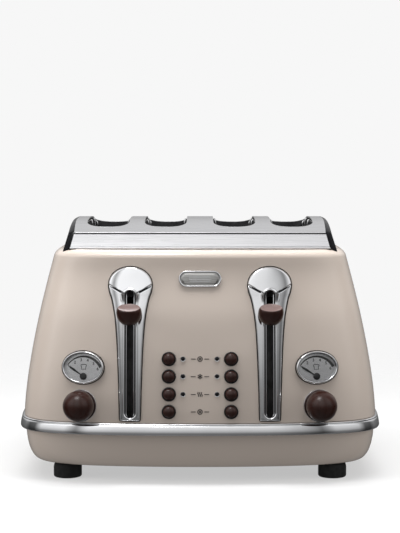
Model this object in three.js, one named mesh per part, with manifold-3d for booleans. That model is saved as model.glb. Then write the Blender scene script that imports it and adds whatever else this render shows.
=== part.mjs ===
// Four-slot pop-up toaster with a flared enamelled casing, a steel crown and two levers.
// Millimetres, +Z up. The front faces -Y, and the origin is on the table under the middle.

import * as THREE from 'three';
import { mergeVertices } from 'three/addons/utils/BufferGeometryUtils.js';
import Module from 'manifold-3d';

const wasm = await Module();
wasm.setup();

// ---------------------------------------------------------------- driving dimensions

const gap = 0.3;
const sides = [-1, 1];
const sideName = { '-1': 'left', 1: 'right' };

// Casing: one rounded outline, swept up with a flare towards the base
const outlineCount = 40;
const cornerPower = 6.6;
const frontBulge = 16;
const sideBulge = 2;
const casingHalfWidth = 166;
const casingHalfDepth = 133;
const rimDraw = 29.5;
const rimDrawDepth = 20.5;
const flarePower = 1.47;
const wall = 1.6;
const shoulderRadius = 7;
const skirtBottomZ = 14;
const skirtTopZ = 44.6;
const skirtCurl = 11.5;
const bandBottomZ = skirtTopZ + gap;
const bandTopZ = 55.7;
const bandProud = 3.5;
const shellBottomZ = bandTopZ + gap;
const rimZ = 210;

// Crown: an arched steel panel between two moulded end caps
const crownBottomZ = 206;
const crownCreaseZ = 224.8;
const crownTopZ = 237;
const crownArchPower = 3;
const crownBottomHalfDepth = 85;
const crownCreaseHalfDepth = 80;
const crownPanelHalfWidth = 116.5;
const crownSheet = 1.5;
const crownEndX = 125;

// Bread slots, cages, heater boards and chassis
const slotCentres = [32.3, 86.4];
const slotWidth = 39.6;
const slotLength = 134;
const cageWireX = 17.5;
const cageThickness = 1.6;
const cageBottomZ = 52;
const cageTopZ = 226;
const boardXs = [8.4, 59.35, 110.3];
const boardThickness = 1.6;
const plateY = 74;
const plateThickness = 1.5;
const chassisHalfWidth = 122;
const chassisTopZ = 204;

// Levers, carriages, guide rods and lift springs
const leverX = 63;
const leverRestZ = 155.5;
const leverSlotWidth = 6;
const leverSlotBottomZ = 61;
const leverSlotTopZ = 174;
const leverKnobY = -142.8;
const shelfTopZ = 160;
const carriageY = -85.2;
const rodX = 77;
const rodY = -92;
const rodRadius = 2.5;
const springX = 49;
const springTopZ = 196;

// Push buttons and lamps, set out on one plane on each side of the middle
const buttonX = 28;
const buttonBankZ = 90;
const buttonLean = THREE.MathUtils.degToRad(5.13);
const buttonHeights = [23.7, 8, -8, -23.7];
const buttonRadius = 5.2;
const collarRadius = 6.3;
const lampX = 15.3;
const lampRadius = 2.1;

// Gauges and browning knobs
const gaugeX = 105.6;
const gaugeZ = 105;
const gaugeHalfWidth = 19.6;
const gaugeHalfHeight = 14.9;
const needlePivotY = -8;
const needleLength = 13.6;
const needleStart = THREE.MathUtils.degToRad(147);
const knobX = 107.3;
const knobZ = 71;
const knobRadius = 14;

// Feet, crumb tray and cord gland
const footX = 122.4;
const footY = 92;
const footRadius = 13;
const trayHalfWidth = 116;
const trayBottomZ = 24;
const trayTopZ = 33;
const glandX = 100;
const glandZ = 74;

// ---------------------------------------------------------------- solids

function toSolid(geometry) {
  const bare = geometry.clone();
  bare.deleteAttribute('normal');
  bare.deleteAttribute('uv');
  const merged = mergeVertices(bare, 1e-3);
  const corners = [];
  for (let i = 0; i < merged.index.count; i += 3) {
    const [a, b, c] = [0, 1, 2].map((k) => merged.index.getX(i + k));
    if (a !== b && b !== c && c !== a) corners.push(a, b, c);
  }
  return new wasm.Manifold(new wasm.Mesh({
    numProp: 3,
    vertProperties: new Float32Array(merged.attributes.position.array),
    triVerts: new Uint32Array(corners),
  }));
}

function toGeometry(solid) {
  const mesh = solid.getMesh();
  const geometry = new THREE.BufferGeometry();
  geometry.setAttribute('position', new THREE.BufferAttribute(mesh.vertProperties, 3));
  geometry.setIndex(new THREE.BufferAttribute(mesh.triVerts, 1));
  return geometry;
}

function join(...solids) {
  return solids.reduce((whole, solid) => whole.add(solid));
}

function block(x, y, z, width, depth, height) {
  return toSolid(new THREE.BoxGeometry(width, depth, height).translate(x, y, z));
}

// A solid turned about Z from [radius, height] points that run up from the axis and back to it
function turned(points, segments) {
  const profile = points.map(([radius, height]) => new THREE.Vector2(radius, height));
  return toSolid(new THREE.LatheGeometry(profile, segments).rotateX(Math.PI / 2));
}

// A ring about Z with a rectangular section
function ring(innerRadius, outerRadius, bottom, top, segments) {
  return turned([
    [innerRadius, bottom],
    [outerRadius, bottom],
    [outerRadius, top],
    [innerRadius, top],
    [innerRadius, bottom],
  ], segments);
}

function disc(radius, bottom, top, segments) {
  return turned([[0, bottom], [radius, bottom], [radius, top], [0, top]], segments);
}

function shapeFrom(points) {
  return new THREE.Shape(points.map(([x, y]) => new THREE.Vector2(x, y)));
}

// A flat outline in X and Z, carried along Y
function extrudedAlongY(shape, startY, endY) {
  const geometry = new THREE.ExtrudeGeometry(shape, { depth: endY - startY, bevelEnabled: false });
  return toSolid(geometry.rotateX(Math.PI / 2).translate(0, endY, 0));
}

// A flat outline in Y and Z, carried along X
function extrudedAlongX(shape, startX, endX) {
  const geometry = new THREE.ExtrudeGeometry(shape, { depth: endX - startX, bevelEnabled: false });
  return toSolid(geometry.rotateX(Math.PI / 2).rotateZ(Math.PI / 2).translate(startX, 0, 0));
}

function extrudedAlongZ(shape, startZ, endZ) {
  const geometry = new THREE.ExtrudeGeometry(shape, { depth: endZ - startZ, bevelEnabled: false });
  return toSolid(geometry.translate(0, 0, startZ));
}

// ---------------------------------------------------------------- casing outline

function outline(halfWidth, halfDepth) {
  const points = [];
  for (let i = 0; i < outlineCount; i++) {
    const angle = (2 * Math.PI * i) / outlineCount;
    const c = Math.cos(angle);
    const s = Math.sin(angle);
    const reach = (Math.abs(c) ** cornerPower + Math.abs(s) ** cornerPower) ** (-1 / cornerPower);
    const across = reach * c;
    const along = reach * s;
    const x = across * (halfWidth - sideBulge * along ** 2);
    const y = along * (halfDepth - frontBulge * across ** 2);
    points.push([x, y]);
  }
  return points;
}

// A solid through a stack of outlines, each given as [z, half width, half depth]
function stacked(levels) {
  const positions = [];
  const corners = [];
  for (const [z, halfWidth, halfDepth] of levels) {
    for (const [x, y] of outline(halfWidth, halfDepth)) positions.push(x, y, z);
  }
  const bottomCentre = positions.length / 3;
  positions.push(0, 0, levels[0][0]);
  const topCentre = bottomCentre + 1;
  positions.push(0, 0, levels[levels.length - 1][0]);
  const topStart = (levels.length - 1) * outlineCount;
  for (let i = 0; i < outlineCount; i++) {
    const next = (i + 1) % outlineCount;
    for (let level = 0; level < levels.length - 1; level++) {
      const low = level * outlineCount;
      const high = low + outlineCount;
      corners.push(low + i, low + next, high + next, low + i, high + next, high + i);
    }
    corners.push(bottomCentre, next, i);
    corners.push(topCentre, topStart + i, topStart + next);
  }
  const geometry = new THREE.BufferGeometry();
  geometry.setAttribute('position', new THREE.Float32BufferAttribute(positions, 3));
  geometry.setIndex(corners);
  return toSolid(geometry);
}

function flare(z) {
  return ((z - shellBottomZ) / (rimZ - shellBottomZ)) ** flarePower;
}

function shoulder(z) {
  const rise = Math.max(0, z - (rimZ - shoulderRadius));
  return shoulderRadius - Math.sqrt(shoulderRadius ** 2 - rise ** 2);
}

function shellLevel(z, offset) {
  const inset = shoulder(z) - offset;
  return [z, casingHalfWidth - rimDraw * flare(z) - inset, casingHalfDepth - rimDrawDepth * flare(z) - inset];
}

function shellLayer(innerOffset, outerOffset) {
  const heights = [shellBottomZ, 82, 112, 145, 178, 198];
  const outer = stacked(heights.map((z) => shellLevel(z, outerOffset)));
  return outer.subtract(stacked(heights.map((z) => shellLevel(z, innerOffset))));
}

function skirtLevel(z, offset) {
  const fall = (skirtTopZ - z) / (skirtTopZ - skirtBottomZ);
  const curl = skirtCurl * (1 - Math.sqrt(1 - fall ** 2)) + 1.5 - offset;
  return [z, casingHalfWidth - curl, casingHalfDepth - curl];
}

// The casing's front surface: y at a place on it, found by closing in on the outline
function frontY(x, z) {
  const [, halfWidth, halfDepth] = shellLevel(z, 0);
  let along = 1;
  let across = 0;
  for (let turn = 0; turn < 12; turn++) {
    across = Math.abs(x) / (halfWidth - sideBulge * along ** 2);
    along = (1 - across ** cornerPower) ** (1 / cornerPower);
  }
  return -along * (halfDepth - frontBulge * across ** 2);
}

// A group on the casing's front whose Z points straight out of the surface and Y runs up it
function frontMount(x, z) {
  const step = 1;
  const acrossSlope = (frontY(x + step, z) - frontY(x - step, z)) / (2 * step);
  const upSlope = (frontY(x, z + step) - frontY(x, z - step)) / (2 * step);
  const mount = new THREE.Group();
  mount.position.set(x, frontY(x, z), z);
  mount.rotation.order = 'ZXY';
  mount.rotation.z = Math.atan(acrossSlope);
  mount.rotation.x = Math.PI / 2 - Math.atan(upSlope * Math.cos(mount.rotation.z));
  return mount;
}

// Cuts a solid by a tool that stands in a mount group
function placedIn(mount, solid) {
  mount.updateMatrix();
  const geometry = toGeometry(solid);
  geometry.applyMatrix4(mount.matrix);
  return toSolid(geometry);
}

// The same solid seen from inside a mount group
function seenFrom(mount, solid) {
  mount.updateMatrix();
  const geometry = toGeometry(solid);
  geometry.applyMatrix4(mount.matrix.clone().invert());
  return toSolid(geometry);
}

// ---------------------------------------------------------------- finishes

const colours = {
  cream: [0xc9bca6, 0.3, 0],
  chrome: [0xd8dadd, 0.12, 1],
  steel: [0xa9abae, 0.35, 1],
  sheet: [0x9a9c9e, 0.5, 1],
  brown: [0x4a2f27, 0.35, 0],
  black: [0x18181a, 0.5, 0],
  rubber: [0x101011, 0.85, 0],
  mica: [0xb9ad93, 0.8, 0],
  board: [0x2f5d3a, 0.6, 0],
  clear: [0xe6ecef, 0.05, 0],
  dial: [0xd0d1cf, 0.5, 0.3],
};

const toaster = new THREE.Group();

function addPiece(name, solid, colourName, parent = toaster) {
  const [color, roughness, metalness] = colours[colourName];
  const material = new THREE.MeshStandardMaterial({ color, roughness, metalness });
  const mesh = new THREE.Mesh(toGeometry(solid), material);
  mesh.name = name;
  parent.add(mesh);
  return mesh;
}

// ---------------------------------------------------------------- places on the front

const bankMounts = {};
const gaugeMounts = {};
const knobMounts = {};
for (const side of sides) {
  const bank = new THREE.Group();
  bank.position.set(side * buttonX, frontY(buttonX, buttonBankZ), buttonBankZ);
  bank.rotation.x = Math.PI / 2 - buttonLean;
  bankMounts[side] = bank;
  gaugeMounts[side] = frontMount(side * gaugeX, gaugeZ);
  knobMounts[side] = frontMount(side * knobX, knobZ);
}

const glandMount = new THREE.Group();
glandMount.position.set(glandX, -frontY(glandX, glandZ), glandZ);
glandMount.rotation.x = -Math.PI / 2;

// ---------------------------------------------------------------- crown

// The arch as [y, z] points from crease to crease, at a depth inside the sheet
function archPoints(inset) {
  const steps = 12;
  const points = [];
  for (let i = 0; i <= steps; i++) {
    const share = 1 - (2 * i) / steps;
    const z = crownTopZ - (crownTopZ - crownCreaseZ) * Math.abs(share) ** crownArchPower;
    points.push([share * (crownCreaseHalfDepth - inset), z - inset]);
  }
  return points;
}

function crownSection(inset, bottomZ) {
  return [
    [-(crownBottomHalfDepth - inset), bottomZ],
    ...archPoints(inset).map(([y, z]) => [-y, z]),
    [crownBottomHalfDepth - inset, bottomZ],
  ];
}

function crownPlan(offset) {
  const corner = [
    [crownPanelHalfWidth, crownBottomHalfDepth],
    [crownEndX - 2.5, crownBottomHalfDepth - 1.5],
    [crownEndX, crownBottomHalfDepth - 8],
  ].map(([x, y]) => [x + offset, y + offset]);
  const points = [];
  for (const [signX, signY] of [[1, 1], [-1, 1], [-1, -1], [1, -1]]) {
    const quarter = corner.map(([x, y]) => [signX * x, signY * y]);
    points.push(...(signX * signY > 0 ? quarter.reverse() : quarter));
  }
  return shapeFrom(points);
}

function addCrown() {
  const inner = crownSection(crownSheet, crownBottomZ - 1);
  const outer = crownSection(0, crownBottomZ);
  let panel = extrudedAlongX(shapeFrom(outer), -crownPanelHalfWidth, crownPanelHalfWidth);
  panel = panel.subtract(extrudedAlongX(shapeFrom(inner), -crownPanelHalfWidth - 1, crownPanelHalfWidth + 1));
  for (const side of sides) {
    for (const centre of slotCentres) {
      panel = panel.subtract(block(side * centre, 0, crownTopZ - 5, slotWidth, slotLength, 30));
    }
  }
  addPiece('crown_panel', panel, 'steel');

  const endProfile = shapeFrom([
    [-crownEndX, crownBottomZ],
    [crownEndX, crownBottomZ],
    [crownEndX, 212],
    [123, 219],
    [120.5, 226],
    [117.8, 232],
    [crownPanelHalfWidth - 1, crownTopZ + 1],
    [1 - crownPanelHalfWidth, crownTopZ + 1],
    [-117.8, 232],
    [-120.5, 226],
    [-123, 219],
    [-crownEndX, 212],
  ]);
  const envelope = extrudedAlongX(shapeFrom(outer), -crownEndX, crownEndX)
    .intersect(extrudedAlongY(endProfile, -100, 100))
    .intersect(extrudedAlongZ(crownPlan(0), 200, 240));
  for (const side of sides) {
    const half = block(side * (crownPanelHalfWidth + gap + 20), 0, 220, 40, 200, 60);
    addPiece(`crown_end_${sideName[side]}`, envelope.intersect(half), 'black');
  }
}

// ---------------------------------------------------------------- casing pieces

function leverSlotTool(side) {
  const height = leverSlotTopZ - leverSlotBottomZ;
  return block(side * leverX, -120, leverSlotBottomZ + height / 2, leverSlotWidth, 60, height);
}

function addShell() {
  const outerHeights = [shellBottomZ, 82, 112, 145, 178, 203, 207.5, rimZ];
  const innerHeights = [shellBottomZ - 1, 112, 178, rimZ - wall];
  let shell = stacked(outerHeights.map((z) => shellLevel(Math.max(z, shellBottomZ), 0)));
  shell = shell.subtract(stacked(innerHeights.map((z) => {
    const [, halfWidth, halfDepth] = shellLevel(Math.max(z, shellBottomZ), -wall);
    return [z, halfWidth, halfDepth];
  })));
  shell = shell.subtract(extrudedAlongZ(crownPlan(0.6), 200, 215));
  for (const side of sides) {
    shell = shell.subtract(leverSlotTool(side));
    for (const height of buttonHeights) {
      const hole = disc(collarRadius + gap, -12, 8, 12).translate([0, height, 0]);
      shell = shell.subtract(placedIn(bankMounts[side], hole));
    }
    for (const height of buttonHeights.slice(0, 3)) {
      const hole = disc(lampRadius + gap, -12, 8, 8).translate([-side * (buttonX - lampX), height, 0]);
      shell = shell.subtract(placedIn(bankMounts[side], hole));
    }
    const window = ovalDisc(gaugeHalfWidth - 1.5, gaugeHalfHeight - 1.5, -14, 8);
    shell = shell.subtract(placedIn(gaugeMounts[side], window));
    shell = shell.subtract(placedIn(knobMounts[side], disc(4.6, -12, 8, 10)));
  }
  shell = shell.subtract(placedIn(glandMount, disc(6.4, -14, 8, 12)));
  addPiece('body_shell', shell, 'cream');
}

function skirtStack(offset) {
  const heights = [skirtBottomZ, 18, 26, skirtTopZ];
  return stacked(heights.map((z) => skirtLevel(z, offset)));
}

function trayDoorway(clearance) {
  return block(0, 120, 29.5, 2 * (trayHalfWidth + 0.5 + clearance), 60, 12 + 2 * clearance);
}

function addSkirt() {
  const flangeTopZ = skirtBottomZ + wall;
  const upper = [flangeTopZ, 26, skirtTopZ + 1].map((z) => {
    const [, halfWidth, halfDepth] = skirtLevel(Math.min(z, skirtTopZ), -wall);
    return [z, halfWidth, halfDepth];
  });
  let skirt = skirtStack(0).subtract(stacked(upper));
  skirt = skirt.subtract(stacked([10, 20].map((z) => [z, 142, 110])));
  skirt = skirt.subtract(trayDoorway(1.5));
  addPiece('base_skirt', skirt, 'cream');
}

function addBand() {
  const section = [
    [bandBottomZ, 2],
    [bandBottomZ + 1.2, bandProud],
    [bandTopZ - 2, bandProud],
    [bandTopZ, 1.5],
  ];
  const outer = stacked(section.map(([z, proud]) => [z, casingHalfWidth + proud, casingHalfDepth + proud]));
  const inner = [bandBottomZ - 1, bandTopZ + 1].map((z) => [z, casingHalfWidth - 5, casingHalfDepth - 5]);
  addPiece('chrome_band', outer.subtract(stacked(inner)), 'chrome');
}

function addBottomPlate() {
  const bottom = skirtBottomZ + wall + gap;
  addPiece('bottom_plate', stacked([bottom, bottom + 1.5].map((z) => [z, 150, 117.5])), 'sheet');
}

function addFeet() {
  const top = skirtBottomZ - gap;
  for (const side of sides) {
    for (const [row, y] of [['front', -footY], ['rear', footY]]) {
      const foot = turned([
        [0, 0],
        [footRadius - 1.5, 0],
        [footRadius, 1.5],
        [footRadius, top - 3],
        [footRadius - 2, top],
        [0, top],
      ], 14);
      addPiece(`foot_${row}_${sideName[side]}`, foot, 'rubber').position.set(side * footX, y, 0);
    }
  }
}

// ---------------------------------------------------------------- inside

function addChassis() {
  const bottomZ = 40;
  const height = chassisTopZ - bottomZ;
  const midZ = (chassisTopZ + bottomZ) / 2;
  const width = 2 * chassisHalfWidth;
  let front = block(0, -plateY, midZ, width, plateThickness, height);
  const slitTop = shelfTopZ + 18;
  const slitBottom = 62;
  const slitHeight = slitTop - slitBottom;
  const slitMidZ = (slitTop + slitBottom) / 2;
  let chassis = block(0, plateY, midZ, width, plateThickness, height);
  for (const side of sides) {
    for (const centre of slotCentres) {
      front = front.subtract(block(side * centre, -plateY, slitMidZ, 6, 5, slitHeight));
    }
    chassis = join(
      chassis,
      block(side * (chassisHalfWidth - 1), 0, 31, 2, 2 * plateY + plateThickness, 22),
      block(side * rodX, -85, 48.5, 9, 22, 3),
      block(side * (rodX + springX) / 2, -85, springTopZ + 1.5, rodX - springX + 10, 22, 2),
    );
  }
  addPiece('chassis', join(chassis, front), 'sheet');
}

function addCage(name, x) {
  const half = plateY - plateThickness / 2 - 0.4;
  const neck = 67.5;
  const railHeight = 6;
  const windows = 5;
  const barWidth = 4;
  const pitch = (2 * neck - barWidth) / windows;
  const windowBottom = cageBottomZ + railHeight;
  const windowTop = cageTopZ - 4;
  const grids = sides.map((side) => {
    const height = cageTopZ - cageBottomZ;
    let grid = block(side * cageWireX, 0, cageBottomZ + height / 2, cageThickness, 2 * neck, height);
    const railZ = cageBottomZ + railHeight / 2;
    grid = grid.add(block(side * cageWireX, 0, railZ, cageThickness, 2 * half, railHeight));
    for (let i = 0; i < windows; i++) {
      const y = -neck + barWidth / 2 + (i + 0.5) * pitch;
      const z = (windowBottom + windowTop) / 2;
      grid = grid.subtract(block(side * cageWireX, y, z, 5, pitch - barWidth, windowTop - windowBottom));
    }
    return grid;
  });
  const bars = sides.map((end) => block(0, end * 60, cageBottomZ + 2, 2 * cageWireX, 4, 4));
  addPiece(name, join(...grids, ...bars), 'steel').position.set(x, 0, 0);
}

function addOvens() {
  const half = plateY - plateThickness / 2 - 0.4;
  const boardNames = ['inner', 'middle', 'outer'];
  const cageNames = ['inner', 'outer'];
  for (const side of sides) {
    slotCentres.forEach((centre, i) => {
      addCage(`bread_cage_${sideName[side]}_${cageNames[i]}`, side * centre);
    });
    boardXs.forEach((x, i) => {
      const board = block(0, 0, 0, boardThickness, 2 * half, 132);
      const name = `heater_board_${sideName[side]}_${boardNames[i]}`;
      addPiece(name, board, 'mica').position.set(side * x, 0, 124);
    });
  }
}

function addCarriage(side) {
  const midX = (slotCentres[0] + slotCentres[1]) / 2;
  const armTipY = leverKnobY + 3;
  const armHeight = 10;
  const pieces = [
    block(side * midX, carriageY, leverRestZ, 66, plateThickness, 20),
    block(side * leverX, (carriageY + armTipY) / 2, leverRestZ, 3, carriageY - armTipY, armHeight),
    block(side * rodX, rodY, leverRestZ, 12, 13, 14),
    block(side * springX, -90.5, 166, 10, 9.5, 3),
    block(side * springX, -86.2, 162, 10, 2, 8),
  ];
  for (const centre of slotCentres) {
    const tailY = 64;
    pieces.push(block(side * centre, (carriageY + tailY) / 2, shelfTopZ - 4, 3, tailY - carriageY, 8));
    for (const y of [-50, 0, 50]) {
      pieces.push(block(side * centre, y, shelfTopZ - 1, 18, 3, 2));
    }
  }
  const bore = disc(rodRadius + 0.4, 140, 170, 12).translate([side * rodX, rodY, 0]);
  addPiece(`bread_carriage_${sideName[side]}`, join(...pieces).subtract(bore), 'steel');
}

function addGuideRod(side) {
  const rod = disc(rodRadius, 50 + gap, springTopZ + 0.2, 12);
  addPiece(`guide_rod_${sideName[side]}`, rod, 'steel').position.set(side * rodX, rodY, 0);
}

class Helix extends THREE.Curve {
  constructor(radius, turns, height) {
    super();
    this.radius = radius;
    this.turns = turns;
    this.height = height;
  }

  getPoint(t, target = new THREE.Vector3()) {
    const angle = 2 * Math.PI * this.turns * t;
    return target.set(this.radius * Math.cos(angle), this.radius * Math.sin(angle), this.height * t);
  }
}

function addLiftSpring(side) {
  const wire = 0.7;
  const turns = 4;
  const bottomZ = 167.5 + gap + wire;
  const section = new THREE.Shape().absarc(0, 0, wire, 0, 2 * Math.PI);
  const path = new Helix(4.2, turns, springTopZ - gap - wire - bottomZ);
  const geometry = new THREE.ExtrudeGeometry(section, {
    steps: turns * 7,
    curveSegments: 2,
    bevelEnabled: false,
    extrudePath: path,
  });
  const spring = addPiece(`lift_spring_${sideName[side]}`, toSolid(geometry), 'steel');
  spring.position.set(side * springX, -90.5, bottomZ);
}

function addCrumbTray() {
  const length = 184;
  const backY = 116;
  const midY = backY - length / 2;
  const height = trayTopZ - trayBottomZ;
  const body = block(0, midY, trayBottomZ + height / 2, 2 * trayHalfWidth, length, height)
    .subtract(block(0, midY, trayTopZ, 2 * trayHalfWidth - 3, length - 3, 2 * height - 2.4));
  const door = trayDoorway(0).intersect(skirtStack(0))
    .subtract(block(0, 50, 29.5, 300, 2 * (backY - 50) - 2, 40));
  const grip = block(0, 131.5, 30, 50, 12, 4);
  addPiece('crumb_tray', join(body, door, grip), 'cream');
}

// ---------------------------------------------------------------- levers

function leverOutline() {
  const half = [
    [9.3, 58],
    [10, 90],
    [11.4, 125],
    [13.2, 148],
    [16.2, 165],
    [19.8, 177],
    [19.4, 183],
    [16.5, 189],
    [10, 194],
  ];
  return [...half, [0, 195.5], ...half.map(([x, z]) => [-x, z]).reverse()];
}

function addLeverEscutcheon(side) {
  const points = leverOutline().map(([x, z]) => [x + side * leverX, z]);
  const plate = extrudedAlongY(shapeFrom(points), -160, -60)
    .intersect(shellLayer(gap, 3))
    .subtract(leverSlotTool(side));
  addPiece(`lever_escutcheon_${sideName[side]}`, plate, 'chrome');
}

function addLeverKnob(side) {
  const bowl = turned([
    [0, -12.5],
    [4.5, -11.8],
    [8.5, -9],
    [10.9, -4.5],
    [11.4, -1],
    [10.6, 0.4],
    [7, -0.6],
    [0, -1.2],
  ], 14).scale([1, 0.8, 1]).rotate([16, 0, 0]).translate([0, 0, leverRestZ + 6.5]);
  const pocket = block(0, 8, leverRestZ, 3.6, 10.6, 10.6);
  const knob = bowl.translate([side * leverX, leverKnobY, 0])
    .subtract(pocket.translate([side * leverX, leverKnobY, 0]));
  addPiece(`lever_knob_${sideName[side]}`, knob, 'brown');
}

// ---------------------------------------------------------------- buttons, lamps and board

function addButtonBank(side) {
  const bank = bankMounts[side];
  const label = sideName[side];
  toaster.add(bank);
  let housing = block(0, 0, -5.8, 15, 62, 2);
  for (const height of buttonHeights) {
    housing = housing.add(disc(collarRadius, -6, 1.4, 12).translate([0, height, 0]));
  }
  for (const height of buttonHeights) {
    housing = housing.subtract(disc(buttonRadius + gap, -7, 3, 12).translate([0, height, 0]));
  }
  addPiece(`button_housing_${label}`, housing, 'black', bank);

  buttonHeights.forEach((height, i) => {
    const button = turned([
      [0, -11],
      [2.5, -11],
      [2.5, -7],
      [buttonRadius, -7],
      [buttonRadius, 2],
      [4.4, 3.4],
      [2.4, 4.2],
      [0, 4.5],
    ], 12);
    addPiece(`button_${label}_${i + 1}`, button, 'brown', bank).position.set(0, height, 0);
  });

  const lampOffset = -side * (buttonX - lampX);
  const lampHeights = buttonHeights.slice(0, 3);
  let pipe = block(0, lampHeights[1], -5.8, 4.4, 38, 2);
  for (const height of lampHeights) {
    pipe = pipe.add(disc(lampRadius, -6, 0.9, 8).translate([0, height, 0]));
  }
  addPiece(`light_pipe_${label}`, pipe, 'clear', bank).position.set(lampOffset, 0, 0);
}

function addControlBoard() {
  const holder = new THREE.Group();
  holder.position.copy(bankMounts[1].position).setX(0);
  holder.rotation.copy(bankMounts[1].rotation);
  toaster.add(holder);
  addPiece('control_board', block(0, 0, -15, 90, 60, 1.6), 'board', holder);
}

// ---------------------------------------------------------------- gauges and knobs

function ovalDisc(halfWidth, halfHeight, bottom, top) {
  return disc(halfWidth, bottom, top, 20).scale([1, halfHeight / halfWidth, 1]);
}

function addGauge(side) {
  const mount = gaugeMounts[side];
  const label = sideName[side];
  toaster.add(mount);
  const clearance = seenFrom(mount, stacked([60, 100, 150].map((z) => shellLevel(z, gap))));
  const windowWidth = gaugeHalfWidth - 3.2;
  const windowHeight = gaugeHalfHeight - 3.2;
  const rim = turned([
    [0, -1],
    [gaugeHalfWidth, -1],
    [gaugeHalfWidth, 1.6],
    [gaugeHalfWidth - 1.2, 3.2],
    [gaugeHalfWidth - 2.4, 3.2],
    [0, 3.2],
  ], 20).scale([1, gaugeHalfHeight / gaugeHalfWidth, 1]).subtract(clearance);
  const cup = ovalDisc(gaugeHalfWidth - 1.9, gaugeHalfHeight - 1.9, -8, 1.5);
  const bezel = rim.add(cup)
    .subtract(ovalDisc(windowWidth, windowHeight, -6.8, 5));
  addPiece(`gauge_bezel_${label}`, bezel, 'chrome', mount);

  const inset = 0.35;
  const dial = ovalDisc(windowWidth - inset, windowHeight - inset, -3.6, -2.4);
  addPiece(`gauge_dial_${label}`, dial, 'dial', mount);
  addPiece(`gauge_lens_${label}`, ovalDisc(windowWidth - inset, windowHeight - inset, 1, 2), 'clear', mount);

  const blade = block(needleLength / 2 - 2, 0, -1, needleLength + 2, 0.9, 0.5);
  const needle = disc(2, -2, 0.2, 14).add(blade);
  const pointer = addPiece(`gauge_needle_${label}`, needle, 'black', mount);
  pointer.position.set(0, needlePivotY, 0);
  pointer.rotation.z = needleStart;
}

function addBrowningKnob(side) {
  const mount = knobMounts[side];
  const label = sideName[side];
  toaster.add(mount);
  const clearance = seenFrom(mount, stacked([shellBottomZ, 75, 100].map((z) => shellLevel(z, gap))));
  const trim = ring(4.6, knobRadius + 0.7, -1, 2, 20).subtract(clearance);
  addPiece(`knob_ring_${label}`, trim, 'chrome', mount);

  const base = 2.4;
  const centre = 9.5;
  const profile = [[0, -9], [4, -9], [4, base]];
  const steps = 6;
  const start = Math.asin((base - centre) / knobRadius);
  for (let i = 0; i <= steps; i++) {
    const angle = start + ((Math.PI / 2 - start) * i) / steps;
    profile.push([i === steps ? 0 : knobRadius * Math.cos(angle), centre + knobRadius * Math.sin(angle)]);
  }
  addPiece(`browning_knob_${label}`, turned(profile, 16), 'brown', mount);
}

// ---------------------------------------------------------------- badge and gland

function addBadge() {
  const halfHeight = 7.4;
  const straight = 12;
  const centreZ = 185;
  const shape = new THREE.Shape();
  shape.absarc(straight, centreZ, halfHeight, -Math.PI / 2, Math.PI / 2);
  shape.absarc(-straight, centreZ, halfHeight, Math.PI / 2, (3 * Math.PI) / 2);
  const outlinePoints = shape.getPoints(6).map((point) => [point.x, point.y]);
  const badge = extrudedAlongY(shapeFrom(outlinePoints), -160, -60).intersect(shellLayer(gap, 2.4));
  addPiece('badge_plate', badge, 'chrome');
}

function addCordGland() {
  toaster.add(glandMount);
  const gland = turned([
    [3.6, -8],
    [6, -8],
    [6, 2.5],
    [10, 2.5],
    [10, 5],
    [6.5, 9],
    [3.6, 9],
    [3.6, -8],
  ], 12);
  addPiece('cord_gland', gland, 'black', glandMount);
}

// ---------------------------------------------------------------- assembly

addShell();
addSkirt();
addBand();
addBottomPlate();
addFeet();
addCrown();
addChassis();
addOvens();
addCrumbTray();
addControlBoard();
addBadge();
addCordGland();
for (const side of sides) {
  addLeverEscutcheon(side);
  addLeverKnob(side);
  addCarriage(side);
  addGuideRod(side);
  addLiftSpring(side);
  addButtonBank(side);
  addGauge(side);
  addBrowningKnob(side);
}

const group = new THREE.Group();
group.add(toaster);

// The levers stand out further at the front than the tray's grip does at the back
const bounds = new THREE.Box3().setFromObject(toaster);
toaster.position.y = -(bounds.min.y + bounds.max.y) / 2;

export default group;
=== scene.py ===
import math

import bmesh
import bpy
from mathutils import Matrix, Vector


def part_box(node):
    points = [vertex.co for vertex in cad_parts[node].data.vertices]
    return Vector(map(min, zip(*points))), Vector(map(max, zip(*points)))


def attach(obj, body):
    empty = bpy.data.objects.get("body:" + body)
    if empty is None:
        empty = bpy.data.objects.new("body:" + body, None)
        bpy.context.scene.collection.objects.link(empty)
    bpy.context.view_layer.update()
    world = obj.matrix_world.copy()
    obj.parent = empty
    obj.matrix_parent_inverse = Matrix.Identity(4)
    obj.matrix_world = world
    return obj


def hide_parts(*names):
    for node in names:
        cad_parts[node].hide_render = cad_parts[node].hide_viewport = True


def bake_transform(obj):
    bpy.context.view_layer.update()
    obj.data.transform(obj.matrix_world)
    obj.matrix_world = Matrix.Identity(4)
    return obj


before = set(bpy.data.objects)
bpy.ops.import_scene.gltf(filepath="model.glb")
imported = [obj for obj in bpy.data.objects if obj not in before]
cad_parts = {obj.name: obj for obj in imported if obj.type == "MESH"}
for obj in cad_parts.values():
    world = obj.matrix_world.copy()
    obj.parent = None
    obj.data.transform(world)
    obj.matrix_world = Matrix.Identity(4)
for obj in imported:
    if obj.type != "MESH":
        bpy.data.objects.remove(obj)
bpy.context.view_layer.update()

# --- driving dimensions
# Shapes are laid out in millimetres, with the origin on the table under the middle of the
# toaster and the front facing -Y. placed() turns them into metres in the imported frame.

SIDES = {"left": -1, "right": 1}
GAP = 0.3

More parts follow.
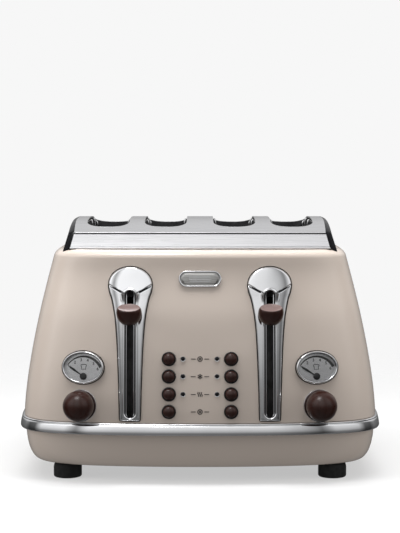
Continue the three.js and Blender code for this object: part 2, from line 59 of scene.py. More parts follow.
OUTLINE_COUNT = 320
TUBE_SIDES = 3
CORNER_POWER = 6.6
FRONT_BULGE = 16
SIDE_BULGE = 2
CASING_HALF_WIDTH = 166
CASING_HALF_DEPTH = 133
RIM_DRAW = 29.5
RIM_DRAW_DEPTH = 20.5
FLARE_POWER = 1.47
NECK_SHARES = (0.58, 0.92)
NECK_FLARE = 0.9
NECK_SLOPE = 0.08
WALL = 1.6
SHOULDER_RADIUS = 7
SKIRT_BOTTOM_Z = 14
SKIRT_TOP_Z = 44.6
SKIRT_CURL = 11.5
BAND_BOTTOM_Z = 44.9
BAND_TOP_Z = 55.7
SHELL_BOTTOM_Z = 56
RIM_Z = 210

CROWN_BOTTOM_Z = 206
CROWN_CREASE_Z = 224.8
CROWN_TOP_Z = 237
CROWN_CREASE_HALF_DEPTH = 80
CROWN_ARCH_POWER = 3
CROWN_OPENING = (125.6, 85.6)
CROWN_OPENING_POWER = 24
CROWN_SHEET = 1.4
CROWN_EDGE_X = (121.4, 116.2)
CAP_REACH = 5.8

SLOT_CENTRES = {"inner": 32.3, "outer": 86.4}
SLOT_HALF_WIDTH = 19.8
SLOT_HALF_LENGTH = 67
SLOT_END_LENGTH = 17
SLOT_END_POWER = 2.5
CAGE_WIRE_X = 17.5
BOARD_XS = {"inner": 8.4, "middle": 59.35, "outer": 110.3}
BOARD_HALF_THICKNESS = 0.8

LEVER_X = 63
LEVER_REST_Z = 155.5
LEVER_KNOB_Y = -144.8
LEVER_KNOB_LEAN = math.radians(24)
LEVER_KNOB_RISE = 5.9
LEVER_SLOT_HALF_WIDTH = 3
LEVER_SLOT_Z = (61, 174)
LEVER_OPENING_HALF_WIDTH = 5
LEVER_OPENING_Z = (60.5, 174.6)
CREASE_Z = 173.3
CREASE_SLOPE = 0.53
ROD_X = 77
ROD_Y = -92
ROD_RADIUS = 2.5
ROD_Z = (50.3, 196.2)
SPRING_X = 49
SPRING_Y = -90.5
SPRING_Z = (168.5, 195)
SPRING_COILS = 7
SPRING_RADIUS = 4.2

BUTTON_X = 28
BUTTON_BANK_Z = 90
BUTTON_LEAN = math.radians(5.13)
BUTTON_HEIGHTS = (23.7, 8, -8, -23.7)
COLLAR_RADIUS = 6.3
LAMP_X = 15.3
LAMP_RADIUS = 2.1

GAUGE_X = 105.6
GAUGE_Z = 105
GAUGE_HALF_WIDTH = 19.6
GAUGE_HALF_HEIGHT = 14.9
OVAL_COUNT = 96
DIAL_TOP = -1.7
DIAL_SCALE_RADIUS = 18
DIAL_NUMBER_RADIUS = 14.9
LENS_INSET = 2.32
PIVOT_Y = -8
NEEDLE_START = math.radians(147)
KNOB_X = 107.3
KNOB_Z = 71
KNOB_RADIUS = 14
KNOB_BASE = 2.3
KNOB_CENTRE = 9.5

BADGE_Z = 185
BADGE_HALF_HEIGHT = 7.4
BADGE_STRAIGHT = 12
BADGE_COUNT = 128

FOOT_X = 122.4
FOOT_Y = 92
TRAY_HALF_WIDTH = 116
TRAY_LENGTH = 184
TRAY_BACK = 116
DOORWAY_Z = 29.5
GLAND_X = 100
GLAND_Z = 74

shell_low, shell_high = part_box("body_shell")
FRAME_SHIFT = (shell_low.y + shell_high.y) / 2
TO_FRAME = Matrix.Translation((0, FRAME_SHIFT, 0)) @ Matrix.Scale(0.001, 4)


# --- mesh helpers

def circle(count, offset=0.0):
    """The cosine and sine of equal steps round a turn. An offset of 0.5 starts half a step in."""
    angles = [2 * math.pi * (i + offset) / count for i in range(count)]
    return [(math.cos(angle), math.sin(angle)) for angle in angles]


def power_reach(c, s, power):
    """How far a superellipse of unit size reaches in the direction (c, s)."""
    return (abs(c) ** power + abs(s) ** power) ** (-1 / power)


def dome_profile(radius, base, rise, steps):
    """A quarter of an ellipse as (radius, height), from just above its base to its crest."""
    angles = [math.radians(90 * step / steps) for step in range(1, steps + 1)]
    return [(radius * math.cos(angle), base + rise * math.sin(angle)) for angle in angles]


def mesh_from(points, faces):
    """A mesh in millimetres with its doubles merged and its normals facing out."""
    mesh = bpy.data.meshes.new("shape")
    mesh.from_pydata([tuple(p) for p in points], [], faces)
    tidy = bmesh.new()
    tidy.from_mesh(mesh)
    bmesh.ops.remove_doubles(tidy, verts=tidy.verts, dist=1e-4)
    bmesh.ops.recalc_face_normals(tidy, faces=tidy.faces)
    tidy.to_mesh(mesh)
    tidy.free()
    return mesh


def merged(meshes):
    """One mesh that holds all the meshes given."""
    whole = bmesh.new()
    for mesh in meshes:
        whole.from_mesh(mesh)
    mesh = bpy.data.meshes.new("merged")
    whole.to_mesh(mesh)
    whole.free()
    return mesh


def moved(mesh, matrix):
    mesh.transform(matrix)
    if matrix.determinant() < 0:
        mesh.flip_normals()
    return mesh


def shown(name, data):
    """A new object in the scene."""
    item = bpy.data.objects.new(name, data)
    bpy.context.scene.collection.objects.link(item)
    return item


def evaluated_copy(holder):
    """The mesh that an object shows, with its modifiers applied."""
    bpy.context.view_layer.update()
    depsgraph = bpy.context.evaluated_depsgraph_get()
    return bpy.data.meshes.new_from_object(holder.evaluated_get(depsgraph))


def solid_of(curve):
    """The mesh of a curve or a text."""
    holder = shown("curve", curve)
    mesh = evaluated_copy(holder)
    bpy.data.objects.remove(holder)
    return mesh


def combined(mesh, tool, operation="DIFFERENCE"):
    """The exact boolean of two closed meshes."""
    holder = shown("holder", mesh)
    helper = shown("helper", tool)
    modifier = holder.modifiers.new("combine", "BOOLEAN")
    modifier.operation = operation
    modifier.solver = "EXACT"
    modifier.object = helper
    result = evaluated_copy(holder)
    for item in (holder, helper):
        bpy.data.objects.remove(item)
    return result


def placed(name, mesh, material, replaced=(), sharp=33, body="housing"):
    """A finished piece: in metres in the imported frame, shaded, riding on its body if it has one."""
    mesh.transform(TO_FRAME)
    mesh.shade_smooth()
    mesh.set_sharp_from_angle(angle=math.radians(sharp))
    mesh.materials.clear()
    mesh.materials.append(material)
    mesh.name = name
    piece = shown(name, mesh)
    if body:
        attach(piece, body)
    if replaced:
        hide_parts(*replaced)
    return piece


def joined_rings(rings, loop=False, caps=False):
    """Quads between rings of equal length. loop joins the last ring to the first."""
    count = len(rings[0])
    points = [p for ring in rings for p in ring]
    faces = []
    for level in range(len(rings) if loop else len(rings) - 1):
        low = level * count
        high = (level + 1) % len(rings) * count
        for i in range(count):
            j = (i + 1) % count
            faces.append((low + i, low + j, high + j, high + i))
    if caps:
        faces.append(tuple(range(count)))
        faces.append(tuple(range(len(points) - count, len(points))))
    return mesh_from(points, faces)


def turned(profile, segments=48, squash=1.0):
    """A solid turned about Z from (radius, height) points. Off the axis they close into a ring."""
    rings = []
    for radius, height in profile:
        rings.append([(radius * c, squash * radius * s, height) for c, s in circle(segments)])
    closed = profile[0][0] > 0
    return joined_rings(rings, loop=closed)


def block(x, y, z, width, depth, height):
    corners = []
    for dz in (-0.5, 0.5):
        for dx, dy in ((-0.5, -0.5), (0.5, -0.5), (0.5, 0.5), (-0.5, 0.5)):
            corners.append((x + dx * width, y + dy * depth, z + dz * height))
    faces = [(0, 1, 2, 3), (4, 5, 6, 7)]
    for i in range(4):
        j = (i + 1) % 4
        faces.append((i, j, j + 4, i + 4))
    return mesh_from(corners, faces)


def tubes(paths, radius, closed=False):
    """Round wires along lists of points, as one mesh."""
    curve = bpy.data.curves.new("wire", "CURVE")
    curve.dimensions = "3D"
    curve.bevel_depth = radius
    curve.bevel_resolution = TUBE_SIDES
    curve.use_fill_caps = True
    for path in paths:
        spline = curve.splines.new("POLY")
        spline.points.add(len(path) - 1)
        spline.use_cyclic_u = closed
        for point, place in zip(spline.points, path):
            point.co = (*place, 1)
    return solid_of(curve)


def spline_through(points, steps):
    """A closed smooth line through the points given."""
    smooth = []
    count = len(points)
    for i in range(count):
        a, b, c, d = (Vector(points[(i + k) % count]) for k in (-1, 0, 1, 2))
        for step in range(steps):
            t = step / steps
            smooth.append(0.5 * (2 * b + (c - a) * t + (2 * a - 5 * b + 4 * c - d) * t * t
                                 + (3 * b - a - 3 * c + d) * t * t * t))
    return smooth


def evenly_spaced(points, count):
    """A closed line's points, set out again at equal distances."""
    lengths = [0.0]
    closed = [*points, points[0]]
    for a, b in zip(closed, closed[1:]):
        lengths.append(lengths[-1] + (b - a).length)
    spaced = []
    place = 0
    for i in range(count):
        target = lengths[-1] * i / count
        while lengths[place + 1] < target:
            place += 1
        share = (target - lengths[place]) / (lengths[place + 1] - lengths[place])
        spaced.append(closed[place].lerp(closed[place + 1], share))
    return spaced


def smooth_step(low, high, value):
    share = min(1, max(0, (value - low) / (high - low)))
    return share * share * (3 - 2 * share)


def stadium(half_width, low, high, count):
    """A round-ended slot outline in (x, z), from low to high, with half its points on the straight sides."""
    points = []
    bend = count // 4
    low_centre = low + half_width
    high_centre = high - half_width
    for start, end, side in ((high_centre, low_centre, -1), (low_centre, high_centre, 1)):
        for i in range(bend):
            angle = math.pi * (i + 0.5) / bend
            points.append((-side * half_width * math.cos(angle), start - side * half_width * math.sin(angle)))
        for i in range(bend):
            points.append((side * half_width, start + (end - start) * (i + 0.5) / bend))
    return points


# --- casing surface

def outline(half_width, half_depth):
    points = []
    for c, s in circle(OUTLINE_COUNT):
        reach = power_reach(c, s, CORNER_POWER)
        across = reach * c
        along = reach * s
        points.append((
            across * (half_width - SIDE_BULGE * along ** 2),
            along * (half_depth - FRONT_BULGE * across ** 2),
        ))
    return points


def level_ring(z, half_width, half_depth):
    return [(x, y, z) for x, y in outline(half_width, half_depth)]


def depth_flare(share):
    """The front's flare: like the sides' low down, then leaning further and standing up under the rim."""
    start, end = NECK_SHARES
    low = start ** FLARE_POWER
    low_slope = FLARE_POWER * start ** (FLARE_POWER - 1) * (end - start)
    high_slope = NECK_SLOPE * (end - start)
    if share <= start:
        return share ** FLARE_POWER
    if share >= end:
        return NECK_FLARE + NECK_SLOPE * (share - end)
    t = (share - start) / (end - start)
    return (
        low * (2 * t ** 3 - 3 * t ** 2 + 1)
        + low_slope * (t ** 3 - 2 * t ** 2 + t)
        + NECK_FLARE * (3 * t ** 2 - 2 * t ** 3)
        + high_slope * (t ** 3 - t ** 2)
    )


def shell_size(z, offset=0.0):
    share = max(0.0, z - SHELL_BOTTOM_Z) / (RIM_Z - SHELL_BOTTOM_Z)
    flare = share ** FLARE_POWER
    rise = max(0, z - (RIM_Z - SHOULDER_RADIUS))
    inset = SHOULDER_RADIUS - math.sqrt(SHOULDER_RADIUS ** 2 - rise ** 2) - offset
    return (
        CASING_HALF_WIDTH - RIM_DRAW * flare - inset,
        CASING_HALF_DEPTH - RIM_DRAW_DEPTH * depth_flare(share) - inset,
    )


def front_y(x, z):
    half_width, half_depth = shell_size(z)
    along = 1
    across = 0
    for _ in range(12):
        across = abs(x) / (half_width - SIDE_BULGE * along ** 2)
        along = (1 - across ** CORNER_POWER) ** (1 / CORNER_POWER)
    return -along * (half_depth - FRONT_BULGE * across ** 2)


def on_front(x, z, height):
    """A point that stands proud of the casing's front by a height."""
    return (x, front_y(x, z) - height, z)


def front_mount(x, z):
    """A frame on the casing's front, with Z straight out of the surface and Y up it."""
    across_slope = (front_y(x + 1, z) - front_y(x - 1, z)) / 2
    up_slope = (front_y(x, z + 1) - front_y(x, z - 1)) / 2
    turn = math.atan(across_slope)
    tip = math.pi / 2 - math.atan(up_slope * math.cos(turn))
    return (
        Matrix.Translation((x, front_y(x, z), z))
        @ Matrix.Rotation(turn, 4, "Z")
        @ Matrix.Rotation(tip, 4, "X")
    )


bank_mounts = {}
gauge_mounts = {}
knob_mounts = {}
for side_name, side in SIDES.items():
    bank_mounts[side_name] = (
        Matrix.Translation((side * BUTTON_X, front_y(BUTTON_X, BUTTON_BANK_Z), BUTTON_BANK_Z))
        @ Matrix.Rotation(math.pi / 2 - BUTTON_LEAN, 4, "X")
    )
    gauge_mounts[side_name] = front_mount(side * GAUGE_X, GAUGE_Z)
    knob_mounts[side_name] = front_mount(side * KNOB_X, KNOB_Z)
gland_mount = (
    Matrix.Translation((GLAND_X, -front_y(GLAND_X, GLAND_Z), GLAND_Z))
    @ Matrix.Rotation(-math.pi / 2, 4, "X")
)


# --- materials

def add_node(tree, kind, **values):
    node = tree.nodes.new(kind)
    for key, value in values.items():
        if key in node.inputs:
            node.inputs[key].default_value = value
        else:
            setattr(node, key, value)
    return node


def link(tree, start, output, end, entry):
    tree.links.new(start.outputs[output], end.inputs[entry])


def set_inputs(node, values):
    for entry, value in values.items():
        node.inputs[entry].default_value = value


def map_range(tree, from_min, from_max, to_min=0.0, to_max=1.0, kind="LINEAR"):
    node = add_node(tree, "ShaderNodeMapRange", interpolation_type=kind)
    set_inputs(node, {"From Min": from_min, "From Max": from_max, "To Min": to_min, "To Max": to_max})
    return node


def new_material(name, lit=True):
    """A material and its node tree, with the usual shader or without one."""
    material = bpy.data.materials.new(name)
    material.use_nodes = True
    tree = material.node_tree
    if not lit:
        tree.nodes.remove(tree.nodes["Principled BSDF"])
    return material, tree


def end_with(tree, node, output):
    link(tree, node, output, tree.nodes["Material Output"], "Surface")


def noise_at(tree, scale, stretch=(1, 1, 1)):
    """A noise in object space, so that its grain has a real size. scale is per metre."""
    place = add_node(tree, "ShaderNodeTexCoord")
    mapping = add_node(tree, "ShaderNodeMapping")
    mapping.inputs["Scale"].default_value = [scale * s for s in stretch]
    noise = add_node(tree, "ShaderNodeTexNoise", Scale=1.0, Detail=3.0)
    link(tree, place, "Object", mapping, "Vector")
    link(tree, mapping, "Vector", noise, "Vector")
    return noise.outputs["Fac"]


def surface(name, dark, light, rough, tint, grain, bump, metal=0.0, coat=0.0, coat_rough=0.05,
            specular=0.5):
    """A material whose colour drifts between two shades, with a grain in its gloss and its relief."""
    material, tree = new_material(name)
    shader = tree.nodes["Principled BSDF"]
    set_inputs(shader, {
        "Metallic": metal,
        "Coat Weight": coat,
        "Coat Roughness": coat_rough,
        "Specular IOR Level": specular,
    })

    shades = add_node(tree, "ShaderNodeValToRGB")
    for element, position, shade in zip(shades.color_ramp.elements, (0.35, 0.65), (dark, light)):
        element.position = position
        element.color = (*shade, 1)
    tree.links.new(noise_at(tree, tint[0], tint[1]), shades.inputs["Fac"])
    link(tree, shades, "Color", shader, "Base Color")

    gloss = map_range(tree, 0.3, 0.7, *rough)
    tree.links.new(noise_at(tree, grain[0], grain[1]), gloss.inputs["Value"])
    link(tree, gloss, "Result", shader, "Roughness")

    relief = add_node(tree, "ShaderNodeBump", Strength=1.0, Distance=bump[1])
    tree.links.new(noise_at(tree, bump[0], grain[1]), relief.inputs["Height"])
    link(tree, relief, "Normal", shader, "Normal")
    return material


def lens_material():
    """Clear plastic: light passes straight through it, and its skin reflects by Fresnel."""
    material, tree = new_material("clear_lens", lit=False)
    clear = add_node(tree, "ShaderNodeBsdfTransparent")
    gloss = add_node(tree, "ShaderNodeBsdfGlossy", Roughness=0.03)
    skin = add_node(tree, "ShaderNodeFresnel", IOR=1.45)
    blend = add_node(tree, "ShaderNodeMixShader")
    relief = add_node(tree, "ShaderNodeBump", Strength=0.4, Distance=0.00001)
    tree.links.new(noise_at(tree, 150), relief.inputs["Height"])
    link(tree, relief, "Normal", gloss, "Normal")
    link(tree, skin, "Fac", blend, "Fac")
    link(tree, clear, "BSDF", blend, 1)
    link(tree, gloss, "BSDF", blend, 2)
    end_with(tree, blend, "Shader")
    return material


EVEN = (1, 1, 1)
ALONG_X = (0.02, 1, 1)
ALONG_Z = (1, 1, 0.03)

cream = surface("cream_enamel", (0.550, 0.474, 0.416), (0.558, 0.482, 0.424), (0.252, 0.262),
                tint=(9, EVEN), grain=(900, EVEN), bump=(320, 0.000004), coat=0.55, coat_rough=0.06)
chrome = surface("chrome", (0.78, 0.785, 0.80), (0.84, 0.845, 0.86), (0.045, 0.085), metal=1.0,
                 tint=(30, EVEN), grain=(120, EVEN), bump=(180, 0.000004))
brushed = surface("brushed_steel", (0.66, 0.66, 0.675), (0.76, 0.76, 0.775), (0.26, 0.38), metal=1.0,
                  tint=(1500, ALONG_X), grain=(2400, ALONG_X), bump=(3000, 0.000008))
badge_steel = surface("badge_steel", (0.36, 0.355, 0.345), (0.50, 0.495, 0.48), (0.25, 0.36), metal=1.0,
                      tint=(1200, ALONG_X), grain=(2000, ALONG_X), bump=(2200, 0.00001))
wire_steel = surface("wire_steel", (0.70, 0.70, 0.71), (0.84, 0.84, 0.85), (0.14, 0.24), metal=1.0,
                     tint=(400, EVEN), grain=(700, ALONG_Z), bump=(900, 0.000006))
# Near-black steel for the slot collars and bread carriages: partly dark sheet, partly painted shade for the
# dark inside of the slots.
dark_steel_and_slot_shade = surface("dark_steel_and_slot_shade", (0.010, 0.010, 0.011), (0.022, 0.022, 0.023), (0.6, 0.75),
                      tint=(120, EVEN), grain=(400, EVEN), bump=(800, 0.00001), specular=0.2)
sheet_steel = surface("sheet_steel", (0.22, 0.22, 0.225), (0.32, 0.32, 0.33), (0.38, 0.55), metal=1.0,
                      tint=(90, EVEN), grain=(260, EVEN), bump=(500, 0.00002))
brown = surface("brown_plastic", (0.018, 0.0048, 0.0028), (0.025, 0.0066, 0.0040), (0.27, 0.34),
                tint=(90, EVEN), grain=(500, EVEN), bump=(1400, 0.00001), coat=0.3, coat_rough=0.25,
                specular=0.3)
# The lever knobs' dish: the brown plastic painted paler, as painted light where the dish faces the overhead
# lamps.
dish_brown_painted_light = surface("brown_plastic_painted_light", (0.118, 0.076, 0.070), (0.138, 0.090, 0.083), (0.38, 0.46),
                     tint=(90, EVEN), grain=(600, EVEN), bump=(1600, 0.000012), coat=0.2, coat_rough=0.25)
black = surface("black_plastic", (0.010, 0.010, 0.011), (0.018, 0.018, 0.020), (0.28, 0.36),
                tint=(120, EVEN), grain=(500, EVEN), bump=(1300, 0.00001), coat=0.3, coat_rough=0.1)
cap_black = surface("gloss_black_plastic", (0.005, 0.005, 0.006), (0.009, 0.009, 0.010), (0.16, 0.22),
                    tint=(120, EVEN), grain=(300, EVEN), bump=(400, 0.000006), specular=0.1)
rubber = surface("rubber", (0.008, 0.008, 0.008), (0.016, 0.016, 0.016), (0.62, 0.78),
                 tint=(200, EVEN), grain=(900, EVEN), bump=(2600, 0.00004), specular=0.3)
mica = surface("mica", (0.30, 0.25, 0.17), (0.46, 0.40, 0.30), (0.5, 0.75),
               tint=(160, (1, 0.4, 1)), grain=(500, EVEN), bump=(900, 0.00003))
board_green = surface("circuit_board", (0.012, 0.085, 0.035), (0.02, 0.12, 0.05), (0.35, 0.5),
                      tint=(300, EVEN), grain=(600, EVEN), bump=(1200, 0.00002))
dial_silver = surface("dial_face", (0.66, 0.66, 0.67), (0.96, 0.96, 0.97), (0.38, 0.5), metal=1.0,
                      tint=(2600, EVEN), grain=(1500, EVEN), bump=(2500, 0.00001))
print_black = surface("printed_black", (0.006, 0.006, 0.006), (0.012, 0.011, 0.011), (0.5, 0.62),
                      tint=(500, EVEN), grain=(900, EVEN), bump=(2000, 0.000006))
print_brown = surface("printed_brown", (0.012, 0.009, 0.008), (0.018, 0.014, 0.012), (0.5, 0.62),
                      tint=(500, EVEN), grain=(900, EVEN), bump=(2000, 0.000006))
clear = lens_material()


# --- casing

def power_oval(half_width, half_depth, power, z):
    ring = []
    for c, s in circle(OUTLINE_COUNT):
        reach = power_reach(c, s, power)
        ring.append((reach * c * half_width, reach * s * half_depth, z))
    return ring


def shell_openings():
    """The shapes taken out of the casing for the levers, buttons, lamps, gauges, knobs and gland."""
    tools = []
    for name, side in SIDES.items():
        slot = stadium(LEVER_SLOT_HALF_WIDTH + 0.4, LEVER_SLOT_Z[0] - 0.4, LEVER_SLOT_Z[1] + 0.4, 64)
        rings = [[(x + side * LEVER_X, y, z) for x, z in slot] for y in (-150, -95)]
        tools.append(joined_rings(rings, caps=True))
        for i, height in enumerate(BUTTON_HEIGHTS):
            hole = turned([(0, -12), (COLLAR_RADIUS, -12), (COLLAR_RADIUS, 8), (0, 8)])
            tools.append(moved(hole, bank_mounts[name] @ Matrix.Translation((0, height, 0))))
            if i < 3:
                place = Matrix.Translation((-side * (BUTTON_X - LAMP_X), height, 0))
                lamp = turned([(0, -12), (LAMP_RADIUS, -12), (LAMP_RADIUS, 8), (0, 8)], 32)
                tools.append(moved(lamp, bank_mounts[name] @ place))
        window = GAUGE_HALF_WIDTH - 1.6
        aspect = (GAUGE_HALF_HEIGHT - 1.6) / window
        oval = turned([(0, -14), (window, -14), (window, 8), (0, 8)], 64, aspect)
        tools.append(moved(oval, gauge_mounts[name]))
        stem = turned([(0, -12), (4.6, -12), (4.6, 8), (0, 8)], 32)
        tools.append(moved(stem, knob_mounts[name]))
    cord = turned([(0, -14), (6.4, -14), (6.4, 8), (0, 8)], 48)
    tools.append(moved(cord, gland_mount))
    return merged(tools)


def add_shell():
    straight_top = RIM_Z - SHOULDER_RADIUS
    heights = [SHELL_BOTTOM_Z + (straight_top - SHELL_BOTTOM_Z) * i / 28 for i in range(29)]
    for i in range(1, 11):
        heights.append(straight_top + SHOULDER_RADIUS * math.sin(math.radians(9 * i)))
    rings = [level_ring(z, *shell_size(z)) for z in heights]
    width, depth = CROWN_OPENING
    rings += [
        power_oval(width + 0.9, depth + 0.9, CROWN_OPENING_POWER, RIM_Z),
        power_oval(width + 0.25, depth + 0.25, CROWN_OPENING_POWER, RIM_Z - 0.25),
        power_oval(width, depth, CROWN_OPENING_POWER, RIM_Z - 0.9),
        power_oval(width, depth, CROWN_OPENING_POWER, RIM_Z - WALL),
    ]
    for z in (208.2, 205, 195, 170, 140, 110, 80, SHELL_BOTTOM_Z):
        rings.append(level_ring(z, *shell_size(z, -WALL)))
    shell = joined_rings(rings, loop=True)
    shell = combined(shell, shell_openings())
    placed("casing", shell, cream, ["body_shell"])


def skirt_size(z, offset=0.0):
    fall = (SKIRT_TOP_Z - z) / (SKIRT_TOP_Z - SKIRT_BOTTOM_Z)
    curl = SKIRT_CURL * (1 - math.sqrt(max(0.0, 1 - fall ** 2))) + 1.5 - offset
    return CASING_HALF_WIDTH - curl, CASING_HALF_DEPTH - curl


def skirt_heights():
    """Heights that crowd together where the skirt curls under."""
    rise = SKIRT_TOP_Z - SKIRT_BOTTOM_Z
    return [SKIRT_TOP_Z - rise * math.sin(math.radians(5 * i)) for i in range(19)]


def doorway(clearance):
    return block(0, 120, DOORWAY_Z, 2 * (TRAY_HALF_WIDTH + 0.5 + clearance), 60, 12 + 2 * clearance)


def add_skirt():
    rings = [level_ring(z, *skirt_size(z)) for z in skirt_heights()]
    rings.append(level_ring(SKIRT_BOTTOM_Z, 142, 110))
    rings.append(level_ring(SKIRT_BOTTOM_Z + WALL, 142, 110))
    for z in reversed(skirt_heights()[:-1]):
        rings.append(level_ring(max(z, SKIRT_BOTTOM_Z + WALL), *skirt_size(z, -WALL)))
    skirt = combined(joined_rings(rings, loop=True), doorway(1.5))
    placed("skirt", skirt, cream, ["base_skirt"])


def add_band():
    section = [
        (BAND_BOTTOM_Z, -1.0), (BAND_BOTTOM_Z, 1.8), (45.0, 2.6), (45.3, 3.15), (45.8, 3.45),
        (46.6, 3.5), (48.4, 3.3), (50.4, 2.95), (52.4, 2.5), (53.3, 2.25), (53.6, 2.0), (53.8, 1.7),
        (54.1, 1.6), (54.4, 1.8), (54.8, 1.9), (55.2, 1.7), (55.5, 1.2), (BAND_TOP_Z, 0.4),
        (BAND_TOP_Z, -3.0), (BAND_BOTTOM_Z, -3.0),
    ]
    rings = [level_ring(z, CASING_HALF_WIDTH + out, CASING_HALF_DEPTH + out) for z, out in section]
    band = joined_rings(rings, loop=True)
    placed("band", band, chrome, ["chrome_band"], sharp=50)


# --- crown

ARCH_RISE = CROWN_TOP_Z - CROWN_CREASE_Z


def arch_z(y):
    return CROWN_TOP_Z - ARCH_RISE * abs(y / CROWN_CREASE_HALF_DEPTH) ** CROWN_ARCH_POWER


def crown_section():
    """Half of the crown's section as (y, z), from the front's bottom edge to the crest."""
    points = [
        (-84.7, CROWN_BOTTOM_Z), (-84.7, 209.4), (-85.0, 209.9), (-85.6, 210.3), (-85.9, 211.0),
        (-85.6, 211.7), (-84.9, 212.1), (-84.2, 212.5), (-83.9, 213.2), (-82.0, 219.0), (-80.5, 223.4),
        (-80.3, 224.0), (-79.5, 224.2), (-79.2, 224.6), (-79.1, 225.2),
    ]
    for i in range(31):
        y = -79.0 * (1 - i / 30)
        points.append((y, arch_z(y) + 0.1))
    return points


def crown_edge_x(z):
    """Half the steel's width: it tapers up the wall and opens a little over the arch."""
    low, high = CROWN_EDGE_X
    if z < CROWN_CREASE_Z:
        return low - (low - high) * (z - CROWN_BOTTOM_Z) / (CROWN_CREASE_Z - CROWN_BOTTOM_Z)
    return high + 1.1 * (z - CROWN_CREASE_Z) / ARCH_RISE


def mirrored(half):
    return half + [(-y, z) for y, z in reversed(half[:-1])]


def inset_section(section, distance):
    """A section line moved inwards, square to itself."""
    inset = []
    for i, (y, z) in enumerate(section):
        before = section[max(0, i - 1)]
        after = section[min(len(section) - 1, i + 1)]
        along = Vector((after[0] - before[0], after[1] - before[1])).normalized()
        inset.append((y + along.y * distance, z - along.x * distance))
    return inset


def slot_outline(grow, count=96):
    """A bread slot's outline in plan, with elliptical ends."""
    points = []
    for c, s in circle(count, 0.5):
        reach = power_reach(c, s, SLOT_END_POWER)
        centre = math.copysign(SLOT_HALF_LENGTH - SLOT_END_LENGTH, s)
        points.append((
            (SLOT_HALF_WIDTH + grow) * reach * c,
            centre + (SLOT_END_LENGTH + grow) * reach * s,
        ))
    return points


def add_crown_panel():
    """The steel top with its slots, and dark rubber lines in its crease and at its foot: painted shade in the
    crease and in the gap under the crown.
    """
    outer = mirrored(crown_section())
    inner = inset_section(outer, CROWN_SHEET)
    columns = 40
    rings = []
    for column in range(columns + 1):
        share = 2 * column / columns - 1
        ring = [(share * crown_edge_x(z), y, z) for y, z in outer]
        ring += [(share * crown_edge_x(outer[i][1]), y, z) for i, (y, z) in reversed(list(enumerate(inner)))]
        rings.append(ring)
    panel = joined_rings(rings)
    half = len(outer)
    closed = bmesh.new()
    closed.from_mesh(panel)
    closed.verts.ensure_lookup_table()
    count = 2 * half
    for base in (0, columns * count):
        for i in range(half - 1):
            corners = (base + i, base + i + 1, base + count - 2 - i, base + count - 1 - i)
            closed.faces.new([closed.verts[k] for k in corners])
    bmesh.ops.recalc_face_normals(closed, faces=closed.faces)
    closed.to_mesh(panel)
    closed.free()
    tools = []
    for side in SIDES.values():
        for centre in SLOT_CENTRES.values():
            rings = [[(x + side * centre, y, z) for x, y in slot_outline(0)] for z in (215, 245)]
            tools.append(joined_rings(rings, caps=True))
    panel = combined(panel, merged(tools))
    placed("crown_panel_steel", panel, brushed, ["crown_panel"], sharp=28)
    # Dark rubber beads in the crease and at the foot: painted shade where the crease and the gap under the
    # crown fall dark.
    beads = []
    for y, z, radius in ((80.4, 224.3, 0.6), (85.6, 209.7, 0.8)):
        reach = crown_edge_x(z)
        ends = (-reach, -reach / 2, 0, reach / 2, reach)
        beads.append(tubes([[(x, face * y, z) for x in ends] for face in (-1, 1)], radius))
    placed("crown_shade_lines", merged(beads), rubber)


def add_slot_trims():
    """The thin steel lip round each bread slot, and the dark collar that goes down from it; the collar's
    near-black is partly dark sheet and partly painted shade inside the slot.
    """
    lip = [(0.3, -0.4), (0.35, 0.05), (0.15, 0.2), (-0.1, 0.1), (-0.25, -0.4), (-0.2, -1.0), (0.1, -1.0)]
    collar = [(-0.15, -0.2), (-0.5, -0.4), (-0.8, -1.4), (-0.8, -16), (-0.05, -16)]
    pieces = (
        ("slot_lip", lip, brushed, "brushed_steel"),
        ("slot_collar", collar, dark_steel_and_slot_shade, "sheet_steel"),
    )
    for name, side in SIDES.items():
        for place, centre in SLOT_CENTRES.items():
            for piece, section, material, slot in pieces:
                rings = []
                for grow, rise in section:
                    line = slot_outline(grow, 128)
                    rings.append([(x + side * centre, y, arch_z(y) + rise) for x, y in line])
                placed(f"{piece}_{name}_{place}", joined_rings(rings, loop=True), material)


def add_crown_ends():
    """The moulded caps at the crown's ends, rounded over from the steel's edge to the side."""
    outer = mirrored(crown_section())
    plain = [(y, z) for y, z in outer if not 209.5 < z < 213 and not 223.5 < z < 225]
    steps = 10
    for name, side in SIDES.items():
        rings = []
        for step in range(-1, steps + 1):
            angle = math.radians(90 * max(0, step) / steps)
            ring = []
            for y, z in plain:
                low = z < CROWN_CREASE_Z
                reach = CAP_REACH if low else CAP_REACH * (1 - 0.35 * (z - CROWN_CREASE_Z) / ARCH_RISE)
                drop = 3.0 * (1 - math.cos(angle))
                start = crown_edge_x(z) + GAP
                x = start + reach * math.sin(angle)
                scale_y = 1 - drop / 85
                scale_z = (z - CROWN_BOTTOM_Z) * (1 - drop / 31)
                ring.append((side * x, y * scale_y * 0.998, CROWN_BOTTOM_Z + scale_z - 0.05))
            if step < 0:
                ring = [(side * (abs(x) - 2.5), y * 0.97, CROWN_BOTTOM_Z + (z - CROWN_BOTTOM_Z) * 0.93)
                        for x, y, z in ring]
            rings.append(ring)
        cap = joined_rings(rings, caps=True)
        placed(f"crown_cap_{name}", cap, cap_black, [f"crown_end_{name}"], 40)


# --- levers

def escutcheon_outline(count):
    half = [
        (7.7, 58), (9.1, 59.2), (9.35, 62), (9.6, 75), (10.0, 90), (11.4, 125), (13.2, 148),
        (16.2, 165), (18.7, 172.6), (19.75, 178.5), (19.1, 183.3), (17.1, 187.5), (14, 190.8),
        (10, 193.3), (5, 195),
    ]
    points = [(0, 58), *half, (0, 195.5), *[(-x, z) for x, z in reversed(half)]]
    return evenly_spaced(spline_through(points, 24), count)


